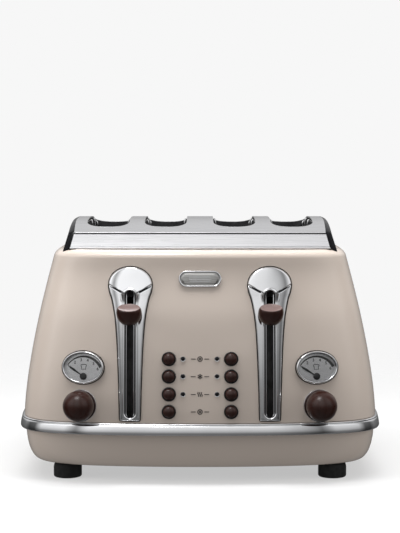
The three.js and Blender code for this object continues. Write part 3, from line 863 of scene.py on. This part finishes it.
def escutcheon_height(x, z, inner_distance, outer_distance):
    """How far the chrome stands off the casing: round edge, crowned face, fan and slot lip."""
    edge = 1.1 * math.sqrt(1 - (1 - min(1, outer_distance / 1.2)) ** 2)
    crown = 0.9 * (1 - math.exp(-outer_distance / 5))
    lip = 0.55 * smooth_step(2.4, 1.2, inner_distance)
    hollow = -0.5 * smooth_step(0.7, 0.0, inner_distance)
    crease = CREASE_Z + CREASE_SLOPE * (abs(x) - 7.2)
    above = smooth_step(-0.55, 0.55, (z - crease) * 0.88)
    strength = smooth_step(5.6, 9.0, abs(x))
    tilt = 2.2 * min(1, max(0, (202 - z) / 29))
    fan = (0.5 + tilt) * (above * strength + smooth_step(163, 175, z) * (1 - strength))
    dome = 0.5 * (1 - ((z - 184) / 24) ** 2) * above if z > 172 else 0.0
    groove = -0.9 * math.exp(-((z - crease + 0.9) / 0.7) ** 2) * strength
    return GAP + edge + crown + lip + hollow + fan + max(0, dome) + groove


def add_escutcheon(name, side):
    """The chrome lever plate, dark rubber lines in its creases that are painted shadow under the crease's
    step, and a thin dark ring round its edge.
    """
    count = 560
    steps = 30
    outer = escutcheon_outline(count)
    low = LEVER_OPENING_Z[0] + LEVER_OPENING_HALF_WIDTH
    high = LEVER_OPENING_Z[1] - LEVER_OPENING_HALF_WIDTH
    inner = []
    for point in outer:
        centre = Vector((0, min(high, max(low, point.y))))
        inner.append(centre + (point - centre).normalized() * LEVER_OPENING_HALF_WIDTH)
    rings = []
    for step in range(steps + 1):
        share = 0.5 - 0.5 * math.cos(math.pi * step / steps)
        share = 0.5 * share + 0.5 * step / steps
        ring = []
        for start, end in zip(inner, outer):
            place = start.lerp(end, share)
            reach = (end - start).length
            height = escutcheon_height(place.x, place.y, share * reach, (1 - share) * reach)
            ring.append(on_front(place.x + side * LEVER_X, place.y, height))
        rings.append(ring)
    rings.append([on_front(p.x + side * LEVER_X, p.y, 0.1) for p in outer])
    rings.append([on_front(p.x + side * LEVER_X, p.y, 0.1) for p in inner])
    plate = joined_rings(rings, loop=True)
    placed(f"escutcheon_{name}", plate, chrome, [f"lever_escutcheon_{name}"], sharp=60)

    # Dark rubber lines along the creases: painted shadow where the upper face steps over the lower.
    creases = []
    for face in (-1, 1):
        path = []
        for i in range(13):
            x = 8.2 + 7.8 * i / 12
            z = CREASE_Z + CREASE_SLOPE * (x - 7.2) - 0.9
            edge_x = max(p.x for p in outer if abs(p.y - z) < 2)
            x = min(x, edge_x - 0.5)
            height = escutcheon_height(x, z, 5, edge_x - x)
            path.append(on_front(face * x + side * LEVER_X, z, height + 0.15))
        creases.append(path)
    placed(f"escutcheon_shadow_line_{name}", tubes(creases, 0.42), rubber)

    # A thin dark rubber ring round the plate's edge.
    edge_ring = []
    for grow, height in ((-1.0, 0.05), (0.75, 0.05), (0.8, 0.35), (0.6, 0.5), (-1.0, 0.5)):
        ring = []
        for start, end in zip(inner, outer):
            place = end + (end - start).normalized() * grow
            ring.append(on_front(place.x + side * LEVER_X, place.y, height))
        edge_ring.append(ring)
    placed(f"gasket_{name}", joined_rings(edge_ring, loop=True), rubber)


def add_lever_guide(name, side):
    """The black plate inside the chrome opening, and the bright rail round the lever's slot."""
    low, high = LEVER_OPENING_Z
    plate_section = [(4.9, 0.1), (4.9, 0.9), (3.3, 0.9), (3.3, 0.1)]
    rail_section = [(3.9, 0.7), (3.8, 1.35), (3.45, 1.6), (3.1, 1.35), (3.0, -2.5), (3.35, -2.5)]
    sections = (
        (f"lever_guide_{name}", plate_section, rubber, "black_plastic"),
        (f"lever_rail_{name}", rail_section, chrome, "chrome"),
    )
    for piece, section, material, slot in sections:
        rings = []
        for half_width, height in section:
            inset = 0.35 * (LEVER_OPENING_HALF_WIDTH - half_width)
            line = stadium(half_width, low + inset, high - inset, 96)
            rings.append([on_front(x + side * LEVER_X, z, height) for x, z in line])
        placed(piece, joined_rings(rings, loop=True), material)


def add_lever_knob(name, side):
    """A bowl with a dished top that leans towards the user. The dish is the bowl's brown painted paler:
    painted light where it faces the overhead lamps.
    """
    bowl = [(0, -17.0), (3.4, -16.7), (7.0, -15.2), (9.6, -12.2), (11.0, -8.4), (11.35, -5.2), (11.1, -2.9),
            (10.6, -1.3), (10.1, -0.5), (9.7, -0.2), (9.3, -0.5), (9.1, -2.2), (0, -2.6)]
    dish = [(0, -2.5), (8.9, -2.0), (9.5, -0.6), (9.75, -0.05), (9.55, 0.15), (9.1, 0.0), (7.6, -0.6),
            (5.0, -1.1), (2.5, -1.35), (0, -1.4)]
    place = (
        Matrix.Translation((side * LEVER_X, LEVER_KNOB_Y, LEVER_REST_Z + LEVER_KNOB_RISE))
        @ Matrix.Rotation(LEVER_KNOB_LEAN, 4, "X")
        @ Matrix.Diagonal((1, 0.72, 1, 1))
    )
    carriage = f"{name}_carriage"
    placed(f"lever_bowl_{name}", moved(turned(bowl, 64), place), brown,
           [f"lever_knob_{name}"], 50, carriage)
    # The dish's paler brown is painted light from overhead.
    placed(f"lever_dish_{name}", moved(turned(dish, 64), place), dish_brown_painted_light,
           sharp=50, body=carriage)


def add_rod_and_spring(name, side):
    rod = turned([(0, ROD_Z[0]), (ROD_RADIUS - 0.4, ROD_Z[0]), (ROD_RADIUS, ROD_Z[0] + 0.4),
                  (ROD_RADIUS, ROD_Z[1] - 0.4), (ROD_RADIUS - 0.4, ROD_Z[1]), (0, ROD_Z[1])], 32)
    moved(rod, Matrix.Translation((side * ROD_X, ROD_Y, 0)))
    placed(f"rod_{name}", rod, wire_steel, [f"guide_rod_{name}"])

    steps = 24
    low, high = SPRING_Z
    path = []
    for i in range(SPRING_COILS * steps + 1):
        angle = 2 * math.pi * i / steps
        height = low + (high - low) * i / (SPRING_COILS * steps)
        x = side * SPRING_X + SPRING_RADIUS * math.cos(angle)
        path.append((x, SPRING_Y + SPRING_RADIUS * math.sin(angle), height))
    spring = placed(f"spring_{name}", tubes([path], 0.6), wire_steel,
                    [f"lift_spring_{name}"], body=None)
    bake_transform(spring)


# --- buttons and lamps

def add_buttons(name, side):
    bank = bank_mounts[name]
    collars = []
    for height in BUTTON_HEIGHTS:
        collar = turned([(5.5, -5), (6.25, -5), (6.25, 0.3), (6.5, 0.45), (6.5, 0.9), (6.25, 1.3), (5.9, 1.4),
                         (5.6, 1.2), (5.5, 0.7)], 56)
        collars.append(moved(collar, bank @ Matrix.Translation((0, height, 0))))
    placed(f"button_collars_{name}", merged(collars), black,
           [f"button_housing_{name}"])
    for i, height in enumerate(BUTTON_HEIGHTS):
        profile = [(0, -9), (5.2, -9), (5.2, 1.5), *dome_profile(5.2, 1.5, 3.1, 12)]
        cap = moved(turned(profile, 56), bank @ Matrix.Translation((0, height, 0)))
        placed(f"push_button_{name}_{i + 1}", cap, brown,
               [f"button_{name}_{i + 1}"], 40, f"{name}_button_{i + 1}")

    rims = []
    domes = []
    for height in BUTTON_HEIGHTS[:3]:
        place = bank @ Matrix.Translation((-side * (BUTTON_X - LAMP_X), height, 0))
        rim = turned([(1.6, -4), (2.05, -4), (2.05, 0.2), (2.45, 0.25), (2.45, 0.55), (2.2, 0.85),
                      (1.85, 0.8), (1.6, 0.4)], 40)
        rims.append(moved(rim, place))
        profile = [(0, -5), (1.55, -5), (1.55, 0.2), *dome_profile(1.55, 0.2, 1.2, 8)]
        domes.append(moved(turned(profile, 32), place))
    placed(f"lamp_rims_{name}", merged(rims), chrome)
    placed(f"lamp_domes_{name}", merged(domes), cap_black,
           [f"light_pipe_{name}"])


def ring_line(radius):
    """A full circle round the origin as a line of points."""
    points = []
    for i in range(29):
        angle = math.radians(360 * i / 28)
        points.append((radius * math.cos(angle), radius * math.sin(angle)))
    return points


def row_symbols():
    """Line symbols for the four rows: ring bread, snowflake, warm air, and a crossed circle."""
    snow = []
    for spoke in range(6):
        angle = math.radians(60 * spoke + 30)
        tip = Vector((math.cos(angle), math.sin(angle)))
        snow.append([(0, 0), tuple(2.3 * tip)])
        for bend in (-45, 45):
            turn = angle + math.radians(bend)
            branch = 1.5 * tip + 0.75 * Vector((math.cos(turn), math.sin(turn)))
            snow.append([tuple(1.5 * tip), tuple(branch)])
    air = []
    for x in (-1.6, 0, 1.6):
        air.append([(x + 0.45 * math.sin(2 * math.pi * i / 16), -2 + 4 * i / 16) for i in range(17)])
    ring_bread = [ring_line(2.1), ring_line(0.75)]
    crossed = [ring_line(2.1), [(-1.0, -1.0), (1.0, 1.0)], [(-1.0, 1.0), (1.0, -1.0)]]
    return ring_bread, snow, air, crossed


def add_row_symbols():
    lean_rise = math.cos(BUTTON_LEAN)
    for i, (height, symbol) in enumerate(zip(BUTTON_HEIGHTS, row_symbols())):
        z = BUTTON_BANK_Z + height * lean_rise
        dashes = [[(s * 3.9, 0), (s * 8.2, 0)] for s in (-1, 1)]
        paths = [[on_front(x, z + up, -0.06) for x, up in line] for line in [*symbol, *dashes]]
        placed(f"row_symbol_{i + 1}", tubes(paths, 0.36), print_brown)


# --- gauges and browning knobs

def oval_rings(section):
    """Rings that follow the gauge's oval, from (inset, height) points."""
    rings = []
    for inset, height in section:
        half_width = GAUGE_HALF_WIDTH - inset
        half_height = GAUGE_HALF_HEIGHT - inset
        rings.append([(half_width * c, half_height * s, height) for c, s in circle(OVAL_COUNT)])
    return rings


def flat_strip(centre_line, widths, bottom, top):
    """A thin solid strip along a plane line, as wide as given at each point."""
    lower = []
    upper = []
    for i, (point, width) in enumerate(zip(centre_line, widths)):
        before = Vector(centre_line[max(0, i - 1)])
        after = Vector(centre_line[min(len(centre_line) - 1, i + 1)])
        along = (after - before).normalized()
        square = Vector((-along.y, along.x)) * width / 2
        lower.append(Vector(point) - square)
        upper.append(Vector(point) + square)
    rings = []
    for a, b in zip(lower, upper):
        rings.append([(a.x, a.y, bottom), (b.x, b.y, bottom), (b.x, b.y, top), (a.x, a.y, top)])
    return joined_rings(rings, caps=True)


def numeral(digit, x, y, height, bottom):
    """A dial number as a thin raised solid."""
    text = bpy.data.curves.new("numeral", "FONT")
    text.body = str(digit)
    text.size = height * 1.4
    text.align_x = "CENTER"
    text.align_y = "CENTER"
    text.extrude = 0.05
    text.offset = 0.09
    return moved(solid_of(text), Matrix.Translation((x, y, bottom)))


def add_gauge(name):
    mount = gauge_mounts[name]
    bezel_section = [(1.7, -5), (0.15, -4.6), (0.0, 0.6), (0.1, 1.5), (0.5, 2.3), (1.1, 2.7), (1.7, 2.5),
                     (2.1, 1.9), (2.25, 1.0), (2.3, -4.2)]
    seat_section = [(0.6, -0.4), (-0.6, -0.4), (-0.65, 0.2), (-0.4, 0.45), (0.6, 0.45)]
    bezel = moved(joined_rings(oval_rings(bezel_section), loop=True), mount)
    placed(f"bezel_{name}", bezel, chrome, [f"gauge_bezel_{name}"], sharp=60)
    seat = moved(joined_rings(oval_rings(seat_section), loop=True), mount)
    placed(f"bezel_seat_{name}", seat, rubber)

    dial = joined_rings(oval_rings([(2.2, DIAL_TOP - 1.2), (2.2, DIAL_TOP)]), caps=True)
    placed(f"dial_{name}", moved(dial, mount), dial_silver, [f"gauge_dial_{name}"])

    lens_section = [(GAUGE_HALF_HEIGHT - 0.01, 0.9), (LENS_INSET, 0.5), (LENS_INSET, 1.1)]
    for step in range(1, 10):
        angle = math.radians(10 * step)
        reach = (GAUGE_HALF_HEIGHT - LENS_INSET - 0.01) * (1 - math.cos(angle))
        lens_section.append((LENS_INSET + reach, 1.1 + 1.0 * math.sin(angle)))
    lens = moved(joined_rings(oval_rings(lens_section), caps=True), mount)
    placed(f"lens_{name}", lens, clear, [f"gauge_lens_{name}"])

    floor = DIAL_TOP - 0.1
    sweep = 40
    line = []
    for i in range(sweep + 1):
        angle = math.radians(146 - 118 * i / sweep)
        line.append((
            DIAL_SCALE_RADIUS * math.cos(angle),
            PIVOT_Y + DIAL_SCALE_RADIUS * math.sin(angle),
        ))
    widths = [0.9 + 1.9 * (i / sweep) ** 1.2 for i in range(sweep + 1)]
    marks = [flat_strip(line, widths, floor, DIAL_TOP + 0.08)]
    for digit in range(1, 7):
        angle = math.radians(148 - 24 * (digit - 1))
        x = DIAL_NUMBER_RADIUS * math.cos(angle)
        y = PIVOT_Y + DIAL_NUMBER_RADIUS * math.sin(angle)
        marks.append(numeral(digit, x, y, 2.6, DIAL_TOP + 0.03))
    slice_line = [(-2.0, -2.2), (2.0, -2.2), (2.0, 0.1), (2.6, 0.9), (2.4, 1.8), (1.4, 2.2), (-1.4, 2.2),
                  (-2.4, 1.8), (-2.6, 0.9), (-2.0, 0.1)]
    slice_path = [(x, y + 0.6, DIAL_TOP) for x, y in slice_line]
    marks.append(tubes([slice_path], 0.32, closed=True))
    placed(f"dial_marks_{name}", moved(merged(marks), mount), print_black)

    along = Vector((math.cos(NEEDLE_START), math.sin(NEEDLE_START)))
    stations = [(0, 1.0), (4, 1.0), (8.5, 1.5), (10.5, 2.1), (14.5, 1.4), (17.6, 0.3)]
    line = [tuple(Vector((0, PIVOT_Y)) + along * reach) for reach, _ in stations]
    blade = flat_strip(line, [width for _, width in stations], -1.1, -0.75)
    hub = turned([(0, -1.6), (1.2, -1.6), (1.2, -1.2), (3.0, -1.2), (3.2, -1.0), (3.1, -0.6), (2.2, -0.3),
                  (0, -0.2)], 40)
    moved(hub, Matrix.Translation((0, PIVOT_Y, 0)))
    needle = moved(merged([blade, hub]), mount)
    placed(f"needle_{name}", needle, black, [f"gauge_needle_{name}"],
           body=f"{name}_needle")


def add_browning_knob(name):
    mount = knob_mounts[name]
    ring_section = [(5.0, 0.3), (5.0, 1.6), (13.2, 1.7), (13.9, 2.0), (14.5, 1.9), (14.75, 1.4),
                    (14.75, -3.5), (13.6, -3.5), (13.6, 0.3)]
    ring = moved(turned(ring_section, 72), mount)
    placed(f"ring_{name}", ring, chrome, [f"knob_ring_{name}"], sharp=50)

    base = KNOB_BASE
    centre = KNOB_CENTRE
    start = math.asin((base - centre) / KNOB_RADIUS)
    profile = [(0, -9), (4, -9), (4, base), (10.6, base)]
    steps = 36
    for i in range(steps + 1):
        angle = start + (math.pi / 2 - start) * i / steps
        profile.append((KNOB_RADIUS * math.cos(angle), centre + KNOB_RADIUS * math.sin(angle)))
    profile[-1] = (0, centre + KNOB_RADIUS)
    knob = moved(turned(profile, 72), mount)
    placed(f"round_knob_{name}", knob, brown,
           [f"browning_knob_{name}"], 40, f"{name}_browning_knob")


# --- badge

def badge_rings(section):
    rings = []
    for inset, height in section:
        radius = max(0.001, BADGE_HALF_HEIGHT - inset)
        ring = []
        for c, s in circle(BADGE_COUNT, 0.5):
            centre = math.copysign(BADGE_STRAIGHT, c)
            ring.append(on_front(centre + radius * c, BADGE_Z + radius * s, height))
        rings.append(ring)
    return rings


def add_badge():
    """A blank plate with a raised rim and a ribbed field."""
    rim = [(0.0, 0.1), (0.0, 1.0), (0.2, 1.6), (0.7, 2.0), (1.2, 1.9), (1.6, 1.3), (1.9, 0.8), (2.1, 0.1)]
    placed("badge_rim", joined_rings(badge_rings(rim), loop=True), chrome, sharp=60)
    field = [(1.8, 0.1), (1.8, 0.7), (2.6, 0.8), (3.2, 1.25), (4.2, 1.35), (7.39, 1.4)]
    plate = joined_rings(badge_rings(field))
    placed("badge_field", plate, badge_steel, ["badge_plate"])
    ribs = []
    for i in range(4):
        up = 1.05 * (i - 1.5)
        reach = 10.5 - 0.9 * abs(up)
        ribs.append([on_front(x, BADGE_Z + up * 1.4, 1.38) for x in (-reach, 0, reach)])
    placed("badge_ribs", tubes(ribs, 0.3), chrome)


# --- cages and heaters

def add_cage(name, side, place, centre):
    """A bread guide of upright wires on long rails. The tall ones hook over at the top."""
    tall = (-56, -19, 18, 55)
    short = (-37.5, -0.5, 36.5)
    paths = []
    for wall_side in (-1, 1):
        x = side * centre + wall_side * CAGE_WIRE_X
        for y in tall:
            top = arch_z(y) - 2.2
            hook = x + wall_side * 1.3
            paths.append([(x, y, 54), (x, y, top - 3), (x + wall_side * 0.4, y, top - 0.8), (hook, y, top)])
        for y in short:
            paths.append([(x, y, 54), (x, y, 214)])
        for z in (56, 120, 185, 214):
            paths.append([(x, -66, z), (x, 66, z)])
    for end in (-1, 1):
        x = side * centre
        paths.append([(x - CAGE_WIRE_X, end * 60, 54), (x + CAGE_WIRE_X, end * 60, 54)])
    cage = tubes(paths, 1.0)
    placed(f"cage_wires_{name}_{place}", cage, wire_steel,
           [f"bread_cage_{name}_{place}"])


def add_heater_ribbons(name, side, place, x):
    """The flat resistance ribbon wound round each mica board."""
    turns = []
    for i in range(11):
        z = 70 + 11 * i
        for face in (-1, 1):
            turns.append(block(side * x + face * (BOARD_HALF_THICKNESS + 0.15), 0, z, 0.3, 128, 1.8))
    placed(f"heater_ribbon_{name}_{place}", merged(turns), sheet_steel)


# --- feet, tray and gland

def add_feet():
    profile = [(0, 0), (11.2, 0), (12.2, 0.3), (12.9, 1.1), (13, 2.4), (13, 9.5), (12.6, 11.6), (11.6, 13.1),
               (10.5, 13.7), (0, 13.7)]
    for name, side in SIDES.items():
        for row, y in (("front", -FOOT_Y), ("rear", FOOT_Y)):
            foot = moved(turned(profile, 56), Matrix.Translation((side * FOOT_X, y, 0)))
            placed(f"rubber_foot_{row}_{name}", foot, rubber, [f"foot_{row}_{name}"], 40)


def add_tray():
    middle = TRAY_BACK - TRAY_LENGTH / 2
    pan = block(0, middle, 28.5, 2 * TRAY_HALF_WIDTH, TRAY_LENGTH, 9)
    pan = combined(pan, block(0, middle, 33.2, 2 * TRAY_HALF_WIDTH - 3, TRAY_LENGTH - 3, 16))
    skirt = [level_ring(z, *skirt_size(z)) for z in skirt_heights()]
    door = combined(joined_rings(skirt, caps=True), doorway(0), "INTERSECT")
    door = combined(door, block(0, 50, DOORWAY_Z, 300, 2 * (TRAY_BACK - 50) - 2, 40))
    grip = block(0, 131.5, 30, 50, 12, 4)
    bevel = bmesh.new()
    bevel.from_mesh(grip)
    bmesh.ops.bevel(bevel, geom=bevel.edges[:], offset=1.2, segments=4, affect="EDGES")
    bevel.to_mesh(grip)
    bevel.free()
    placed("tray_pan", pan, sheet_steel, ["crumb_tray"], body="crumb_tray")
    placed("tray_door", door, cream, body="crumb_tray")
    placed("tray_grip", grip, cream, body="crumb_tray")


def add_gland():
    gland = turned([(3.6, -8), (6, -8), (6, -0.5), (10, -0.5), (10.2, 1.5), (10, 3.2), (9.2, 4.2), (7.4, 5),
                    (6.6, 6.4), (6.2, 9), (5.8, 9.4), (4.0, 9.4), (3.6, 9)], 56)
    placed("gland", moved(gland, gland_mount), black, ["cord_gland"], sharp=40)


# --- CAD nodes that stay

def dress_cad_nodes():
    finishes = {
        "chassis": sheet_steel,
        "bottom_plate": sheet_steel,
        # Carriages in near-black steel: partly dark sheet, partly painted shade inside the slots.
        "control_board": board_green,
        "bread_carriage_left": dark_steel_and_slot_shade,
        "bread_carriage_right": dark_steel_and_slot_shade,
    }
    for name in SIDES:
        for place in BOARD_XS:
            finishes[f"heater_board_{name}_{place}"] = mica
    for node, material in finishes.items():
        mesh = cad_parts[node].data
        mesh.materials.clear()
        mesh.materials.append(material)


# --- stage

FLOOR_SHADE = 0.34
FLOOR_GLOW = 0.49
DOME_STRENGTH = 1.5
SOFT_LEVELS = [(-90, 0.16), (-30, 0.28), (-8, 0.36), (4, 0.22), (30, 0.18), (90, 0.2)]
RISE_LEVELS = [(-90, 0.16), (-25, 0.12), (-8, 0.11), (2, 0.2), (8, 0.38), (14, 0.56), (22, 0.72), (32, 0.84),
               (60, 0.85), (90, 0.6)]
TURN_LEVELS = [(-180, 0.6), (-125, 0.6), (-108, 0.15), (-88, 0.15), (-72, 1.0), (-38, 1.0), (-29, 0.3),
               (-23, 1.0), (0, 0.85), (14, 0.75), (22, 0.45), (28, 0.2), (38, 0.75), (72, 0.75),
               (88, 0.15), (108, 0.15), (125, 0.6), (180, 0.6)]
CAMERA_DISTANCE = 1.5
CAMERA_HEIGHT = 0.289
CAMERA_TILT = 3.84
CAMERA_LENS = 103.8
FLOOR_HALF = 1.0
BACKDROP_RADIUS = 12


def look_at(item, target):
    item.rotation_euler = (Vector(target) - item.location).to_track_quat("-Z", "Y").to_euler()


def add_area_light(name, place, target, size, power):
    light = bpy.data.lights.new(name, "AREA")
    light.shape = "RECTANGLE"
    light.size, light.size_y = size
    light.energy = power
    lamp = shown(name, light)
    lamp.location = place
    look_at(lamp, target)
    lamp.visible_camera = False
    lamp.visible_glossy = False
    return lamp


def add_stage_mesh(name, mesh, material):
    mesh.materials.append(material)
    item = shown(name, mesh)
    return item


def floor_material():
    """A matt floor with a soft glow, which fades out towards its rim."""
    material, tree = new_material("floor_white")
    shader = tree.nodes["Principled BSDF"]
    set_inputs(shader, {
        "Base Color": (FLOOR_SHADE, FLOOR_SHADE, FLOOR_SHADE, 1),
        "Roughness": 0.9,
        "Emission Color": (1, 1, 1, 1),
        "Emission Strength": FLOOR_GLOW,
        "Specular IOR Level": 0.0,
    })
    place = add_node(tree, "ShaderNodeTexCoord")
    length = add_node(tree, "ShaderNodeVectorMath", operation="LENGTH")
    fade = map_range(tree, 0.35, 0.95, 1.0, 0.0, "SMOOTHSTEP")
    clear_end = add_node(tree, "ShaderNodeBsdfTransparent")
    blend = add_node(tree, "ShaderNodeMixShader")
    link(tree, place, "Object", length, 0)
    link(tree, length, "Value", fade, "Value")
    link(tree, fade, "Result", blend, "Fac")
    link(tree, clear_end, "BSDF", blend, 1)
    link(tree, shader, "BSDF", blend, 2)
    end_with(tree, blend, "Shader")
    return material


def backdrop_material():
    material, tree = new_material("backdrop_white", lit=False)
    glow = add_node(tree, "ShaderNodeEmission", Color=(0.93, 0.93, 0.93, 1), Strength=1.0)
    end_with(tree, glow, "Emission")
    return material


def add_stage():
    corners = [(x * FLOOR_HALF, y * FLOOR_HALF, 0) for x, y in ((-1, -1), (1, -1), (1, 1), (-1, 1))]
    mesh = bpy.data.meshes.new("floor")
    mesh.from_pydata(corners, [], [(0, 1, 2, 3)])
    floor = add_stage_mesh("floor", mesh, floor_material())
    floor.visible_glossy = False
    floor.visible_diffuse = False
    dome = bmesh.new()
    bmesh.ops.create_icosphere(dome, subdivisions=4, radius=BACKDROP_RADIUS)
    mesh = bpy.data.meshes.new("backdrop")
    dome.to_mesh(mesh)
    dome.free()
    backdrop = add_stage_mesh("backdrop", mesh, backdrop_material())
    backdrop.visible_diffuse = False
    backdrop.visible_glossy = False
    backdrop.visible_shadow = False
    backdrop.visible_transmission = False


def ramp_node(tree, stops):
    """A colour ramp of greys, from (position, level) stops."""
    node = add_node(tree, "ShaderNodeValToRGB")
    ramp = node.color_ramp
    ramp.elements[0].position = stops[0][0]
    ramp.elements[1].position = stops[-1][0]
    for position, _ in stops[1:-1]:
        ramp.elements.new(position)
    for element, (_, level) in zip(ramp.elements, stops):
        element.color = (level, level, level, 1)
    return node


def add_world():
    """A studio dome. Glossy faces see RISE_LEVELS up it and TURN_LEVELS round it, matt ones SOFT_LEVELS."""
    world = bpy.data.worlds.new("studio")
    bpy.context.scene.world = world
    world.use_nodes = True
    tree = world.node_tree
    sky = tree.nodes["Background"]
    place = add_node(tree, "ShaderNodeTexCoord")
    axes = add_node(tree, "ShaderNodeSeparateXYZ")
    rise = map_range(tree, -1.0, 1.0)
    rise_ramp, soft_ramp = [
        ramp_node(tree, [((math.sin(math.radians(a)) + 1) / 2, level) for a, level in levels])
        for levels in (RISE_LEVELS, SOFT_LEVELS)
    ]
    back = add_node(tree, "ShaderNodeMath", operation="MULTIPLY")
    back.inputs[1].default_value = -1.0
    turn = add_node(tree, "ShaderNodeMath", operation="ARCTAN2")
    spread = map_range(tree, -math.pi, math.pi)
    turn_ramp = ramp_node(tree, [((a + 180) / 360, level) for a, level in TURN_LEVELS])
    both = add_node(tree, "ShaderNodeMix", data_type="RGBA", blend_type="MULTIPLY")
    both.inputs["Factor"].default_value = 1.0
    link(tree, place, "Generated", axes, "Vector")
    link(tree, axes, "Z", rise, "Value")
    link(tree, rise, "Result", rise_ramp, "Fac")
    link(tree, axes, "Y", back, 0)
    link(tree, axes, "X", turn, 0)
    link(tree, back, "Value", turn, 1)
    link(tree, turn, "Value", spread, "Value")
    link(tree, spread, "Result", turn_ramp, "Fac")
    link(tree, rise_ramp, "Color", both, "A")
    link(tree, turn_ramp, "Color", both, "B")
    path = add_node(tree, "ShaderNodeLightPath")
    choice = add_node(tree, "ShaderNodeMix", data_type="RGBA")
    link(tree, rise, "Result", soft_ramp, "Fac")
    link(tree, path, "Is Diffuse Ray", choice, "Factor")
    link(tree, both, "Result", choice, "A")
    link(tree, soft_ramp, "Color", choice, "B")
    link(tree, choice, "Result", sky, "Color")
    sky.inputs["Strength"].default_value = DOME_STRENGTH


def add_camera():
    camera = shown("camera", bpy.data.cameras.new("camera"))
    camera.location = (0, -CAMERA_DISTANCE + FRAME_SHIFT, CAMERA_HEIGHT)
    camera.rotation_euler = (math.radians(90 - CAMERA_TILT), 0, 0)
    camera.data.lens = CAMERA_LENS
    camera.data.sensor_width = 36
    bpy.context.scene.camera = camera


# --- assembly

add_camera()
add_shell()
add_skirt()
add_band()
add_crown_panel()
add_slot_trims()
add_crown_ends()
add_badge()
add_row_symbols()
add_feet()
add_tray()
add_gland()
for side_name, side in SIDES.items():
    add_escutcheon(side_name, side)
    add_lever_guide(side_name, side)
    add_lever_knob(side_name, side)
    add_rod_and_spring(side_name, side)
    add_buttons(side_name, side)
    add_gauge(side_name)
    add_browning_knob(side_name)
    for place, centre in SLOT_CENTRES.items():
        add_cage(side_name, side, place, centre)
    for place, x in BOARD_XS.items():
        add_heater_ribbons(side_name, side, place, x)
dress_cad_nodes()

add_stage()
add_world()
add_area_light("key", (-0.04, -0.18, 1.0), (-0.04, -0.18, 0.1), (1.1, 0.3), 13.5)
add_area_light("back_key", (0.04, 0.25, 1.0), (0.04, 0.25, 0.1), (1.1, 0.3), 4.5)
add_area_light("left_fill", (-1.3, -0.3, 0.5), (0, 0, 0.12), (0.5, 0.9), 8)
add_area_light("right_fill", (1.3, -0.3, 0.5), (0, 0, 0.12), (0.5, 0.9), 5)
shine = add_area_light("shine", (-0.2, -0.44, 1.0), (0, -0.12, 0.12), (0.32, 0.32), 2.6)
shine.visible_glossy = True
shine.visible_diffuse = False
bpy.context.scene.view_settings.view_transform = "Standard"
